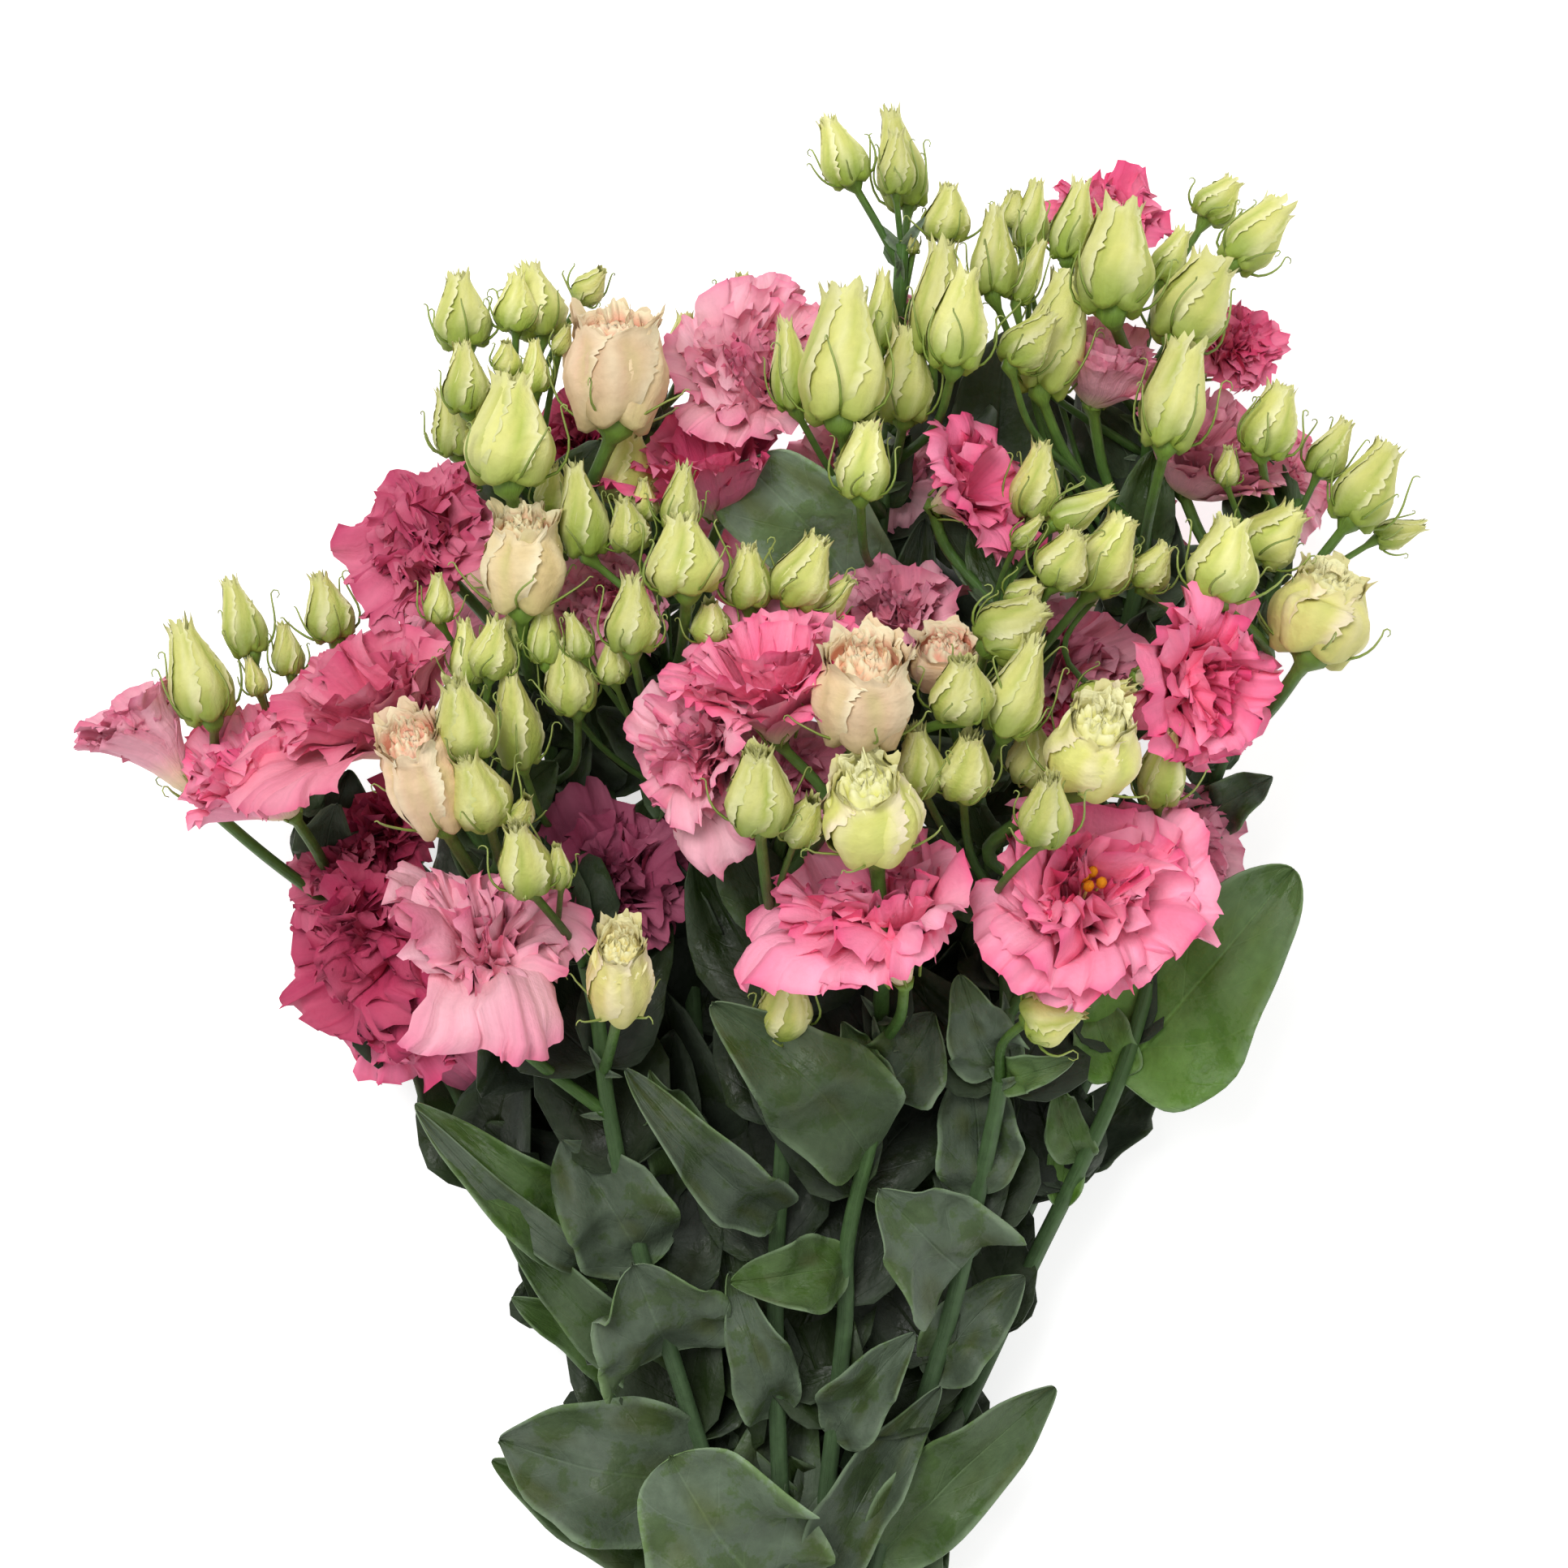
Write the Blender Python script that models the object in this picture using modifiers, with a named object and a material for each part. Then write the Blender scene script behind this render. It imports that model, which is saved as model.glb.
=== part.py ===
"""A bunch of cut lisianthus lying on a surface: leafy stems with buds, opening buds, blooms and a tie.

Metres, +Z up, origin under the middle of the bunch. The bunch lies along Y with its heads at +Y.
Places on the bunch are given as seen from above, as pixels (u to the right, v down) with a depth
in millimetres under the bunch's upper surface. place() turns them into metres.
"""
import math
import random

import bmesh
import bpy
import numpy as np
from mathutils import Matrix, Vector
from mathutils.bvhtree import BVHTree

MM = 0.001

# Scale of the layout
PIXEL = 0.21 * MM
MIDDLE = 966
VIEW_HEIGHT = 2.5
REFERENCE_HEIGHT = 0.11

# Upper surface of the bunch: v, height in mm at the middle, half width in pixels
SPINE = (
    (100, 92, 700),
    (450, 128, 820),
    (850, 150, 860),
    (1200, 135, 760),
    (1550, 88, 400),
    (1932, 52, 330),
    (2230, 20, 300),
)
MIDDLE_U = 955
EDGE_DROP = 0.42

# Stems, the tie and the clearances
STEM_RADIUS = 2.7 * MM
STEM_TOP_RADIUS = 1.9 * MM
PEDICEL_RADIUS = 1.3 * MM
CALYX_RADIUS = 3.2 * MM
STEM_PITCH = 5.9 * MM
BAND_THICKNESS = 1.4 * MM
BAND_WIDTH = 7 * MM
GAP = 0.3 * MM
CLEARANCE = 0.5 * MM
WIDE_CLEARANCE = 0.95 * MM
PEDICEL_APART = 1.1 * MM
SEAT_GAP = 0.4 * MM
CALYX_LENGTH = 3 * MM
ROOT_BELOW = 60
ROOT_SPREAD = 0.7
ROOT_STEP = 18
STEM_SIDES = 5
STEM_SPANS = 1
PETALS = 5
FRONT_SIDES = 3 * PETALS
BACK_SIDES = 2 * PETALS
FLAT_ENOUGH = 0.02
SHORT_PEDICEL = 24 * MM
CORE_SHARE = 0.6
BUD_RISE = 4
TIE_U, TIE_V = 985, 2230
CUT_END_V = 2900
TAIL_SPLAY = 1.25
LEAF_THICKNESS = 0.8 * MM
LEAF_STEPS = 4
LEAF_FULLNESS = 1.16
WIDE_LEAF = 100 * PIXEL
SEED = 11

# Stems by name: row and column in the tie, then the route upwards as u, v, depth in mm
STEMS = {
    "far_left": (0, -2.5, [(895, 1932, 42), (700, 1640, 46), (545, 1320, 60), (440, 1150, 66),
                           (365, 1000, 58), (335, 930, 48)]),
    "left_low": (0, -1.5, [(925, 1932, 42), (770, 1600, 60), (650, 1400, 76), (565, 1270, 86)]),
    "upper_left": (0, -0.5, [(950, 1932, 42), (880, 1560, 72), (800, 1200, 92), (730, 900, 84),
                             (690, 700, 60), (655, 580, 38), (632, 470, 26)]),
    "top": (0, 0.5, [(1000, 1932, 42), (1020, 1560, 74), (1040, 1200, 100), (1060, 900, 90),
                     (1080, 700, 60), (1100, 480, 38), (1112, 300, 16)]),
    "upper_right": (0, 1.5, [(1035, 1932, 42), (1130, 1560, 72), (1250, 1200, 92), (1350, 900, 80),
                             (1405, 700, 56), (1412, 560, 54), (1400, 460, 48)]),
    "far_right": (0, 2.5, [(1070, 1932, 42), (1215, 1600, 58), (1350, 1300, 70), (1460, 1050, 56),
                           (1535, 850, 40), (1575, 700, 26), (1600, 610, 24)]),
    "left": (1, -2, [(900, 1932, 30), (814, 1667, 30), (710, 1400, 44), (625, 1180, 52),
                     (596, 1010, 38), (588, 950, 30)]),
    "upper_left_low": (1, -1, [(935, 1932, 30), (850, 1600, 46), (765, 1300, 74), (700, 1050, 84),
                               (668, 860, 58), (645, 790, 38)]),
    "centre_left": (1, 0, [(965, 1932, 30), (910, 1719, 36), (870, 1520, 46), (855, 1250, 70),
                           (835, 980, 72), (812, 720, 54), (800, 560, 50), (815, 480, 42)]),
    "mid_right": (1, 1, [(1025, 1932, 30), (1085, 1600, 46), (1145, 1300, 66), (1190, 1050, 60),
                         (1215, 850, 42), (1250, 700, 26)]),
    "right": (1, 2, [(1085, 1932, 28), (1190, 1730, 26), (1272, 1556, 24), (1375, 1340, 26),
                     (1430, 1150, 42), (1440, 1070, 46)]),
    "left_front": (2, -1.5, [(905, 1932, 16), (792, 1554, 14), (751, 1373, 17), (735, 1250, 24),
                             (705, 1130, 28)]),
    "centre": (2, -0.5, [(965, 1932, 16), (955, 1600, 18), (970, 1300, 28), (955, 1120, 36),
                         (965, 1020, 48)]),
    "front_centre": (2, 0.5, [(1010, 1932, 16), (1040, 1640, 15), (1045, 1524, 15), (1083, 1355, 20),
                              (1085, 1250, 34)]),
    "front_right": (2, 1.5, [(1075, 1932, 16), (1165, 1640, 16), (1205, 1470, 15), (1233, 1330, 18),
                             (1240, 1200, 40), (1215, 1030, 46), (1192, 930, 32)]),
}

# Buds by stem: tip u, v, base u, v, width in pixels, depth in mm
BUDS = {
    "far_left": [(219, 767, 263, 890, 76, 4), (281, 712, 312, 808, 54, 10), (391, 707, 415, 790, 60, 14)],
    "left": [(556, 837, 585, 930, 75, -6), (571, 930, 603, 1015, 75, -8),
             (612, 761, 603, 834, 55, 6)],
    "left_front": [(634, 1015, 654, 1098, 65, -22)],
    "upper_left_low": [(625, 823, 643, 944, 60, 14),
                       (687, 787, 712, 878, 62, 16)],
    "upper_left": [(563, 338, 575, 430, 70, 12), (636, 337, 636, 410, 55, 12), (650, 326, 670, 418, 70, 20),
                   (569, 421, 578, 510, 58, 4),
                   (546, 480, 563, 562, 50, 22),
                   (630, 461, 627, 600, 110, -8)],
    "centre_left": [(679, 571, 682, 630, 45, 16), (706, 571, 725, 687, 62, 8), (766, 614, 780, 678, 52, 10),
                    (843, 571, 835, 653, 48, 4), (838, 635, 847, 733, 90, -6),
                    (779, 710, 779, 805, 64, -4), (774, 530, 774, 620, 78, 30),
                    (915, 337, 905, 392, 45, 40)],
    "centre": [(921, 672, 924, 748, 60, 6), (1009, 661, 975, 747, 72, 4),
               (933, 922, 936, 1020, 82, -22), (1003, 983, 980, 1034, 50, -16), (967, 1200, 967, 1270, 65, 12),
               (874, 740, 878, 790, 50, 8)],
    "front_right": [(1335, 1240, 1266, 1257, 76, -2), (1293, 956, 1286, 1036, 65, -26),
                    (1271, 890, 1271, 960, 60, 8), (1197, 904, 1186, 980, 65, -6),
                    (1128, 895, 1137, 974, 60, -4), (1186, 811, 1183, 884, 78, -12),
                    (1275, 785, 1236, 907, 70, -8)],
    "right": [(1440, 893, 1427, 988, 60, 2), (1397, 844, 1326, 872, 50, 4)],
    "far_right": [(1661, 517, 1622, 588, 50, 8), (1713, 548, 1660, 646, 75, 2), (1756, 646, 1695, 665, 36, 8),
                  (1597, 627, 1545, 690, 75, 14), (1519, 639, 1498, 740, 88, -12),
                  (1579, 474, 1554, 563, 68, 2), (1437, 670, 1406, 725, 50, 10)],
    "upper_right": [(1462, 419, 1435, 554, 78, -8), (1496, 321, 1447, 425, 90, 4), (1459, 282, 1429, 349, 45, 14),
                    (1521, 220, 1484, 272, 55, 20), (1579, 251, 1518, 327, 65, 12), (1379, 253, 1370, 388, 95, -4),
                    (1333, 222, 1315, 323, 55, 6), (1296, 385, 1244, 452, 60, 2),
                    (1226, 256, 1223, 366, 58, 4), (1321, 339, 1281, 486, 80, 16)],
    "top": [(1018, 146, 1053, 229, 58, 2), (1104, 161, 1104, 242, 45, 0), (1096, 134, 1119, 259, 60, 12),
            (1169, 227, 1165, 299, 58, 10), (1162, 299, 1150, 440, 65, 6), (1189, 333, 1174, 458, 72, -6),
            (1116, 403, 1113, 522, 72, 14), (1041, 354, 1035, 524, 105, -14),
            (966, 394, 981, 507, 52, 4), (1070, 519, 1060, 615, 66, -10)],
    "mid_right": [(1284, 545, 1270, 640, 60, 14), (1327, 655, 1296, 722, 65, -4),
                  (1385, 636, 1342, 731, 70, 8), (1284, 743, 1215, 800, 80, -4)],
}

# Opening buds: name, stem, tip u, v, base u, v, width in pixels, depth in mm
OPENING_BUDS = (
    ("upper_left", "upper_left", 762, 369, 757, 530, 122, 2),
    ("mid_left", "upper_left_low", 647, 620, 643, 755, 100, 0),
    ("left", "left", 495, 885, 548, 1020, 92, -6),
    ("lower_left", "left_front", 766, 1145, 762, 1249, 80, -12),
    ("centre", "centre", 1067, 780, 1061, 918, 118, -16),
    ("front", "front_centre", 1065, 936, 1079, 1052, 118, -22),
    ("right", "right", 1366, 863, 1333, 970, 112, -12),
    ("far_right", "far_right", 1651, 688, 1610, 812, 125, 4),
    ("mid_right", "mid_right", 1167, 775, 1165, 850, 90, 18),
)

# Blooms: name, stem, middle of the mouth u, v, depth in mm, azimuth and lean of the axis in degrees,
# diameter in pixels, azimuth and share of the drooping petals, layers of petals
BLOOMS = (
    ("far_left_outer", "far_left", 180, 902, 8, 126, 76, 190, 0, 0, 3),
    ("far_left_inner", "far_left", 305, 925, 10, 124, 66, 215, 0, 0, 3),
    ("left_upper", "left", 448, 852, 8, 125, 56, 245, 0, 0, 3),
    ("left_top", "upper_left_low", 513, 657, 14, 125, 30, 215, 0, 0, 3),
    ("left_dark", "left_low", 425, 1160, 36, 190, 55, 235, 0, 0, 3),
    ("left_front", "left_front", 602, 1125, -2, 75, 48, 240, 268, 0.95, 3),
    ("left_lowest", "left_low", 480, 1270, 44, 235, 62, 200, 0, 0, 2),
    ("left_behind", "far_left", 462, 1030, 58, 150, 45, 165, 0, 0, 2),
    ("shade_left", "upper_left_low", 748, 1068, 48, 95, 38, 245, 0, 0, 3),
    ("front_left", "front_centre", 1078, 1100, 0, 108, 62, 268, 250, 0.4, 3),
    ("front_right", "front_right", 1345, 1085, -4, 70, 26, 300, 300, 0.1, 3),
    ("behind_right", "right", 1480, 1030, 42, 15, 50, 150, 0, 0, 2),
    ("right", "right", 1500, 845, 2, -8, 48, 255, 0, 0, 3),
    ("upper_middle", "centre_left", 925, 435, 20, 110, 36, 215, 0, 0, 3),
    ("upper_middle_low", "centre_left", 866, 556, 28, 105, 60, 200, 265, 0.5, 2),
    ("upper_left_dark", "upper_left", 713, 535, 66, 100, 30, 130, 0, 0, 2),
    ("mid_left", "centre_left", 742, 735, 34, 120, 35, 170, 0, 0, 2),
    ("middle", "centre", 950, 805, 0, 95, 58, 255, 0, 0, 3),
    ("middle_left", "centre", 848, 915, 2, 170, 36, 200, 285, 0.6, 3),
    ("middle_low", "centre", 990, 940, 26, 70, 45, 165, 0, 0, 2),
    ("mid_right", "mid_right", 1110, 740, 36, 90, 50, 165, 0, 0, 2),
    ("right_behind", "right", 1335, 805, 50, 60, 45, 200, 0, 0, 2),
    ("upper_right_hot", "mid_right", 1225, 590, 12, 25, 58, 195, 0, 0, 3),
    ("upper_behind", "top", 1073, 560, 58, 90, 40, 190, 0, 0, 2),
    ("cup_right", "upper_right", 1370, 430, 22, 72, 70, 160, 0, 0, 3),
    ("top_right", "upper_right", 1365, 255, 36, 90, 60, 180, 0, 0, 2),
    ("upper_right_edge", "upper_right", 1530, 425, 30, 30, 50, 160, 0, 0, 2),
    ("cup_far_right", "far_right", 1500, 535, 24, 60, 58, 195, 0, 0, 3),
    ("far_right_behind", "far_right", 1590, 580, 50, 20, 50, 150, 0, 0, 2),
    ("under_left", "left_low", 560, 700, 113.5, 160, 140, 260, 0, 0, 2),
    ("under_right", "upper_right", 1390, 700, 111.5, 20, 140, 260, 0, 0, 2),
    ("under_middle", "top", 950, 640, 127, 100, 145, 250, 0, 0, 2),
)

# Leaves by stem: v of the root, tip u, v, width in pixels, depth of the tip in mm, cup, bend
LEAVES = {
    "right": [(1335, 1594, 1072, 185, 30, 0.10, 0.05), (1335, 1340, 1215, 80, 48, 0.2, 0.1),
              (1440, 1300, 1330, 60, 34, 0.2, 0.1), (1500, 1345, 1350, 50, 46, 0.3, 0.1)],
    "front_centre": [(1350, 1150, 1250, 108, 26, 0.15, 0.1), (1430, 880, 1238, 150, 8, 0.2, 0.15),
                     (1570, 905, 1580, 96, 4, 0.15, 0.2), (1790, 1128, 1640, 84, 8, 0.3, 0.2)],
    "front_right": [(1323, 1185, 1205, 98, 16, 0.15, 0.1), (1480, 1190, 1300, 110, 36, 0.25, 0.15),
                    (1330, 1325, 1305, 50, 2, 0.4, 0.2), (1575, 1085, 1468, 160, 6, 0.2, 0.2),
                    (1720, 1262, 1572, 92, 14, 0.2, 0.1), (1960, 1300, 1712, 120, 10, 0.25, 0.15)],
    "mid_right": [(1480, 1140, 1385, 72, 40, 0.2, 0.1), (1800, 1205, 1700, 60, 30, 0.2, 0.1)],
    "centre": [(1500, 775, 1322, 92, 6, 0.3, 0.25), (1764, 900, 1571, 84, 10, 0.25, 0.15),
               (2000, 820, 1785, 220, -2, 0.12, 0.2)],
    "left_front": [(1575, 690, 1400, 150, 18, 0.15, 0.15), (1680, 780, 1560, 180, -2, 0.12, 0.2),
                   (1850, 615, 1775, 190, 2, 0.15, 0.2)],
    "left": [(1590, 514, 1363, 104, 22, 0.3, 0.2), (1735, 624, 1516, 84, 12, 0.2, 0.15),
             (1960, 606, 1800, 120, 14, 0.2, 0.15)],
    "left_low": [(1640, 560, 1430, 90, 52, 0.2, 0.1), (1760, 632, 1600, 92, 30, 0.2, 0.1)],
    "centre_left": [(1700, 885, 1500, 104, 30, 0.2, 0.1), (1450, 930, 1300, 90, 50, 0.2, 0.1),
                    (1100, 905, 980, 90, 55, 0.2, 0.1)],
    "top": [(780, 925, 582, 150, 24, 0.1, 0.1), (900, 1140, 640, 110, 44, 0.2, 0.1),
            (1500, 960, 1330, 100, 92, 0.2, 0.1)],
    "upper_right": [(820, 1440, 620, 90, 56, 0.2, 0.1), (1400, 1300, 1230, 110, 100, 0.2, 0.1)],
    "far_right": [(1020, 1570, 955, 70, 40, 0.2, 0.1), (1450, 1420, 1330, 90, 84, 0.2, 0.1)],
    "upper_left": [(1300, 760, 1130, 100, 108, 0.2, 0.1)],
    "far_left": [(1400, 520, 1230, 90, 70, 0.2, 0.1)],
}

# A bud's swell: share of its length, share of its radius
BUD_SWELL = ((0, 0.36), (0.38, 1.06), (0.74, 0.68), (1, 0))

# Profiles as share of the radius, share of the height and share of ruffle, out to the rim of each layer
OPENING_PROFILE = ((0.3, 0.02, 0), (0.86, 0.26, 0.06), (1.0, 0.6, 0.1), (0.98, 0.97, 0.6), (0.6, 0.8, 0.1))
BLOOM_PROFILE = ((0.13, 0.0, 0), (0.48, 0.46, 0.1), (1.0, 0.86, 1.0), (0.56, 0.72, 0.1),
                 (0.76, 1.08, 0.9), (0.34, 0.88, 0.1), (0.44, 1.2, 0.7))
BLOOM_DEPTH = 0.5
RUFFLE_HEIGHT = 0.14
WAVE_REACH = 0.05
NOTCH = 0.3
NOTCH_DROP = 0.12
MOUTH_DEPTH = 0.12
DROOP_DROP = 0.55

# Colours
LEAF_GREEN = (0.10, 0.16, 0.11, 1)
CREAM = (0.83, 0.66, 0.48, 1)
PINK = (0.75, 0.20, 0.36, 1)
BAND_COLOUR = (0.62, 0.55, 0.42, 1)


def clear_scene():
    for item in list(bpy.data.objects):
        bpy.data.objects.remove(item, do_unlink=True)


def place(u, v, height):
    """Metres from a place seen from above and its height."""
    spread = PIXEL * (VIEW_HEIGHT - height) / (VIEW_HEIGHT - REFERENCE_HEIGHT)
    return Vector(((u - MIDDLE) * spread, (MIDDLE - v) * spread, height))


def surface_height(u, v):
    """Height in metres of the bunch's upper surface."""
    rows, heights, widths = zip(*SPINE)
    height = float(np.interp(v, rows, heights))
    across = min(1.1, abs(u - MIDDLE_U) / float(np.interp(v, rows, widths)))
    return MM * height * (1 - EDGE_DROP * across * across)


def at(u, v, depth):
    return place(u, v, surface_height(u, v) - depth * MM)


def axis_vector(azimuth, lean):
    """A unit vector that leans from +Z towards the azimuth."""
    azimuth, lean = math.radians(azimuth), math.radians(lean)
    return Vector((math.sin(lean) * math.cos(azimuth), math.sin(lean) * math.sin(azimuth), math.cos(lean)))


def smooth_path(points, spans):
    """Points of a smooth curve through the given points, with some steps in each span."""
    ends = [2 * points[0] - points[1]] + list(points) + [2 * points[-1] - points[-2]]
    path = []
    for i in range(len(points) - 1):
        a, b, c, d = ends[i:i + 4]
        for step in range(spans):
            t = step / spans
            path.append(0.5 * (2 * b + (c - a) * t + (2 * a - 5 * b + 4 * c - d) * t * t
                               + (3 * b - a - 3 * c + d) * t ** 3))
    return path + [points[-1]]


def arc(start, start_direction, end, end_direction, steps):
    """Points of a cubic that leaves and arrives along the given directions."""
    reach = (end - start).length * 0.36
    a, b = start + start_direction * reach, end - end_direction * reach
    path = []
    for step in range(steps + 1):
        t = step / steps
        path.append(start * (1 - t) ** 3 + a * 3 * t * (1 - t) ** 2 + b * 3 * t * t * (1 - t) + end * t ** 3)
    return path


def tie_slot(row, column):
    """Middle of a stem in the tie, in the plane across the bunch."""
    lowest = BAND_THICKNESS + GAP + STEM_RADIUS
    return column * STEM_PITCH, lowest + row * STEM_PITCH * math.sin(math.pi / 3)


def stem_axis(name):
    row, column, route = STEMS[name]
    across, height = tie_slot(row, column)
    middle = place(TIE_U, TIE_V, 0)
    end = place(TIE_U, CUT_END_V, 0)
    points = [Vector((end.x + across * TAIL_SPLAY, end.y, height)),
              Vector((middle.x + across, middle.y - 3 * BAND_WIDTH, height)),
              Vector((middle.x + across, middle.y + BAND_WIDTH, height))]
    points += [at(*step) for step in route]
    return points[:2] + smooth_path(points[2:], STEM_SPANS)


def point_at_row(axis, v):
    """The place on a stem's axis that lies at v, and its direction there."""
    for a, b in zip(axis, axis[1:]):
        row_a = MIDDLE - a.y / PIXEL
        row_b = MIDDLE - b.y / PIXEL
        if row_b <= v <= row_a:
            return a.lerp(b, (row_a - v) / (row_a - row_b)), (b - a).normalized()
    end = axis[-1] if v < MIDDLE - axis[-1].y / PIXEL else axis[0]
    return end.copy(), (axis[-1] - axis[-2]).normalized()


def pedicel_root(axis, base, taken):
    """A pedicel leaves its stem below what it holds, the wider it reaches the further below.

    No two leave it at one place: each takes the next free row down the stem.
    """
    v = MIDDLE - base.y / PIXEL
    near, _ = point_at_row(axis, v + ROOT_BELOW)
    row = max(v + ROOT_BELOW + ROOT_SPREAD * abs(base.x - near.x) / PIXEL, MIDDLE - axis[-1].y / PIXEL + 4)
    while any(abs(row - other) < ROOT_STEP for other in taken):
        row += 2
    taken.append(row)
    root, along = point_at_row(axis, row)
    return root, (along * 0.5 + (base - root).normalized()).normalized()


def segment_gap(path, others):
    """Least distance between a path and the segments of other paths, less their radii."""
    if not others:
        return 1.0
    mids = np.array([np.array(a.lerp(b, k / 4)) for a, b in zip(path, path[1:]) for k in range(5)])
    start = np.array([s[0] for s in others])
    end = np.array([s[1] for s in others])
    radius = np.array([s[2] for s in others])
    along = end - start
    t = np.einsum("pij,ij->pi", mids[:, None, :] - start[None], along) / np.maximum((along ** 2).sum(1), 1e-12)
    t = np.clip(t, 0, 1)
    nearest = start[None] + along[None] * t[..., None]
    return float((np.linalg.norm(mids[:, None, :] - nearest, axis=2) - radius[None]).min())


def bent_clear(path, radius, others):
    """The path, bowed sideways or in depth as little as keeps it off the other stems."""
    best, best_gap = path, -1.0
    for bow in (0, 4, 8, 12, 17, 23, 30):
        for turn in range(1 if bow == 0 else 8):
            angle = math.pi * turn / 4 - math.pi / 2
            offset = Vector((math.cos(angle), 0, math.sin(angle))) * bow * MM
            bowed = [p + offset * math.sin(math.pi * i / (len(path) - 1)) for i, p in enumerate(path)]
            gap = segment_gap(bowed[1:] if bow else bowed, others) - radius
            if gap > PEDICEL_APART:
                return bowed
            if gap > best_gap:
                best, best_gap = bowed, gap
    return best


def mesh_object(name, bm):
    bmesh.ops.triangulate(bm, faces=bm.faces)
    bmesh.ops.recalc_face_normals(bm, faces=bm.faces)
    mesh = bpy.data.meshes.new(name)
    bm.to_mesh(mesh)
    bm.free()
    item = bpy.data.objects.new(name, mesh)
    bpy.context.scene.collection.objects.link(item)
    return item


def evaluated(item):
    """Replaces an object's mesh by what its modifiers make of it."""
    bpy.context.view_layer.update()
    graph = bpy.context.evaluated_depsgraph_get()
    mesh = bpy.data.meshes.new_from_object(item.evaluated_get(graph))
    item.modifiers.clear()
    item.data = mesh
    return item


def section(sides):
    """A regular polygon of radius 1, which tubes have as their cross-section."""
    name = f"section_{sides}"
    if name not in bpy.data.objects:
        curve = bpy.data.curves.new(name, "CURVE")
        curve.dimensions = "2D"
        curve.fill_mode = "NONE"
        spline = curve.splines.new("POLY")
        spline.use_cyclic_u = True
        spline.points.add(sides - 1)
        for i, point in enumerate(spline.points):
            point.co = (math.cos(math.tau * i / sides), math.sin(math.tau * i / sides), 0, 1)
        guide = bpy.data.objects.new(name, curve)
        guide.hide_render = True
        guide.display_type = "WIRE"
        bpy.context.scene.collection.objects.link(guide)
    return bpy.data.objects[name]


def tube(name, path, radii, sides):
    """A closed tube through the points, as a mesh. A radius of 0 ends it in a point."""
    curve = bpy.data.curves.new(name, "CURVE")
    curve.dimensions = "3D"
    curve.bevel_mode = "OBJECT"
    curve.bevel_object = section(sides)
    curve.use_fill_caps = True
    spline = curve.splines.new("POLY")
    spline.points.add(len(path) - 1)
    for point, place_at, radius in zip(spline.points, path, radii):
        point.co = (*place_at, 1)
        point.radius = radius
    holder = bpy.data.objects.new(name, curve)
    bpy.context.scene.collection.objects.link(holder)
    bpy.context.view_layer.update()
    graph = bpy.context.evaluated_depsgraph_get()
    bm = bmesh.new()
    bm.from_mesh(bpy.data.meshes.new_from_object(holder.evaluated_get(graph)))
    bpy.data.objects.remove(holder, do_unlink=True)
    bmesh.ops.remove_doubles(bm, verts=bm.verts, dist=1e-6)
    return mesh_object(name, bm)


def ruffled(name, sides, profile, head, rng):
    """A closed body turned from a profile whose rims are notched into petals, base at the origin, axis +Z.

    The petals of each layer stand over the notches of the one outside it.
    """
    bm = bmesh.new()
    radius, height, droop = head.half, head.length, head.droop
    rings = len(profile)
    bmesh.ops.create_uvsphere(bm, u_segments=sides, v_segments=rings + 1, radius=1)
    waves = [[rng.uniform(-1, 1) for _ in range(sides)] for _ in range(rings)]
    for vert in bm.verts:
        polar = math.acos(max(-1.0, min(1.0, vert.co.z)))
        ring = rings + 1 - round(polar / math.pi * (rings + 1))
        angle = math.atan2(vert.co.y, vert.co.x)
        if ring == 0:
            vert.co = (0, 0, 0)
            continue
        if ring == rings + 1:
            vert.co = (0, 0, height * (profile[-1][1] - MOUTH_DEPTH))
            continue
        share, level, ruffle = profile[ring - 1]
        side = round(angle / math.tau * sides) % sides
        wave = waves[ring - 1][side] * ruffle
        notch = ruffle if (side + ring // 2) % (sides // PETALS) == 0 else 0
        reach = radius * share * (1 + WAVE_REACH * wave - NOTCH * notch)
        lift = height * level + (RUFFLE_HEIGHT * wave - NOTCH_DROP * notch) * radius
        if droop and ring in (2, 3):
            toward = max(0.0, math.cos(angle - droop[0])) ** 2 * droop[1] * (0.35 if ring == 2 else 1.0)
            reach *= 1 + toward
            lift -= height * DROOP_DROP * toward
        vert.co = (reach * math.cos(angle), reach * math.sin(angle), lift)
    return mesh_object(name, bm)


def leaf(name, root, tip, width, cup, bend):
    """A pointed oval blade from root to tip, cupped across and bent along."""
    steps = LEAF_STEPS if width > WIDE_LEAF else LEAF_STEPS - 1
    bm = bmesh.new()
    bmesh.ops.create_grid(bm, x_segments=steps, y_segments=2, size=1)
    along = tip - root
    length = along.length
    forward = along / length
    side = forward.cross(Vector((0, 0, 1)))
    side = side.normalized() if side.length > 0.05 else Vector((1, 0, 0))
    up = side.cross(forward)
    for vert in bm.verts:
        t = (vert.co.x + 1) / 2
        s = vert.co.y
        half = 0.5 * width * LEAF_FULLNESS * math.sin(math.pi * t) ** 0.6 * (1 - 0.25 * t)
        rise = bend * length * math.sin(math.pi * t) + cup * half * abs(s)
        vert.co = root + along * t + side * half * s + up * rise
    bmesh.ops.remove_doubles(bm, verts=bm.verts, dist=1e-5)
    blade = mesh_object(name, bm)
    thicken = blade.modifiers.new("thickness", "SOLIDIFY")
    thicken.thickness = LEAF_THICKNESS
    thicken.offset = 0
    bm = bmesh.new()
    bm.from_mesh(evaluated(blade).data)
    bpy.data.objects.remove(blade, do_unlink=True)
    return mesh_object(name, bm)


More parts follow.
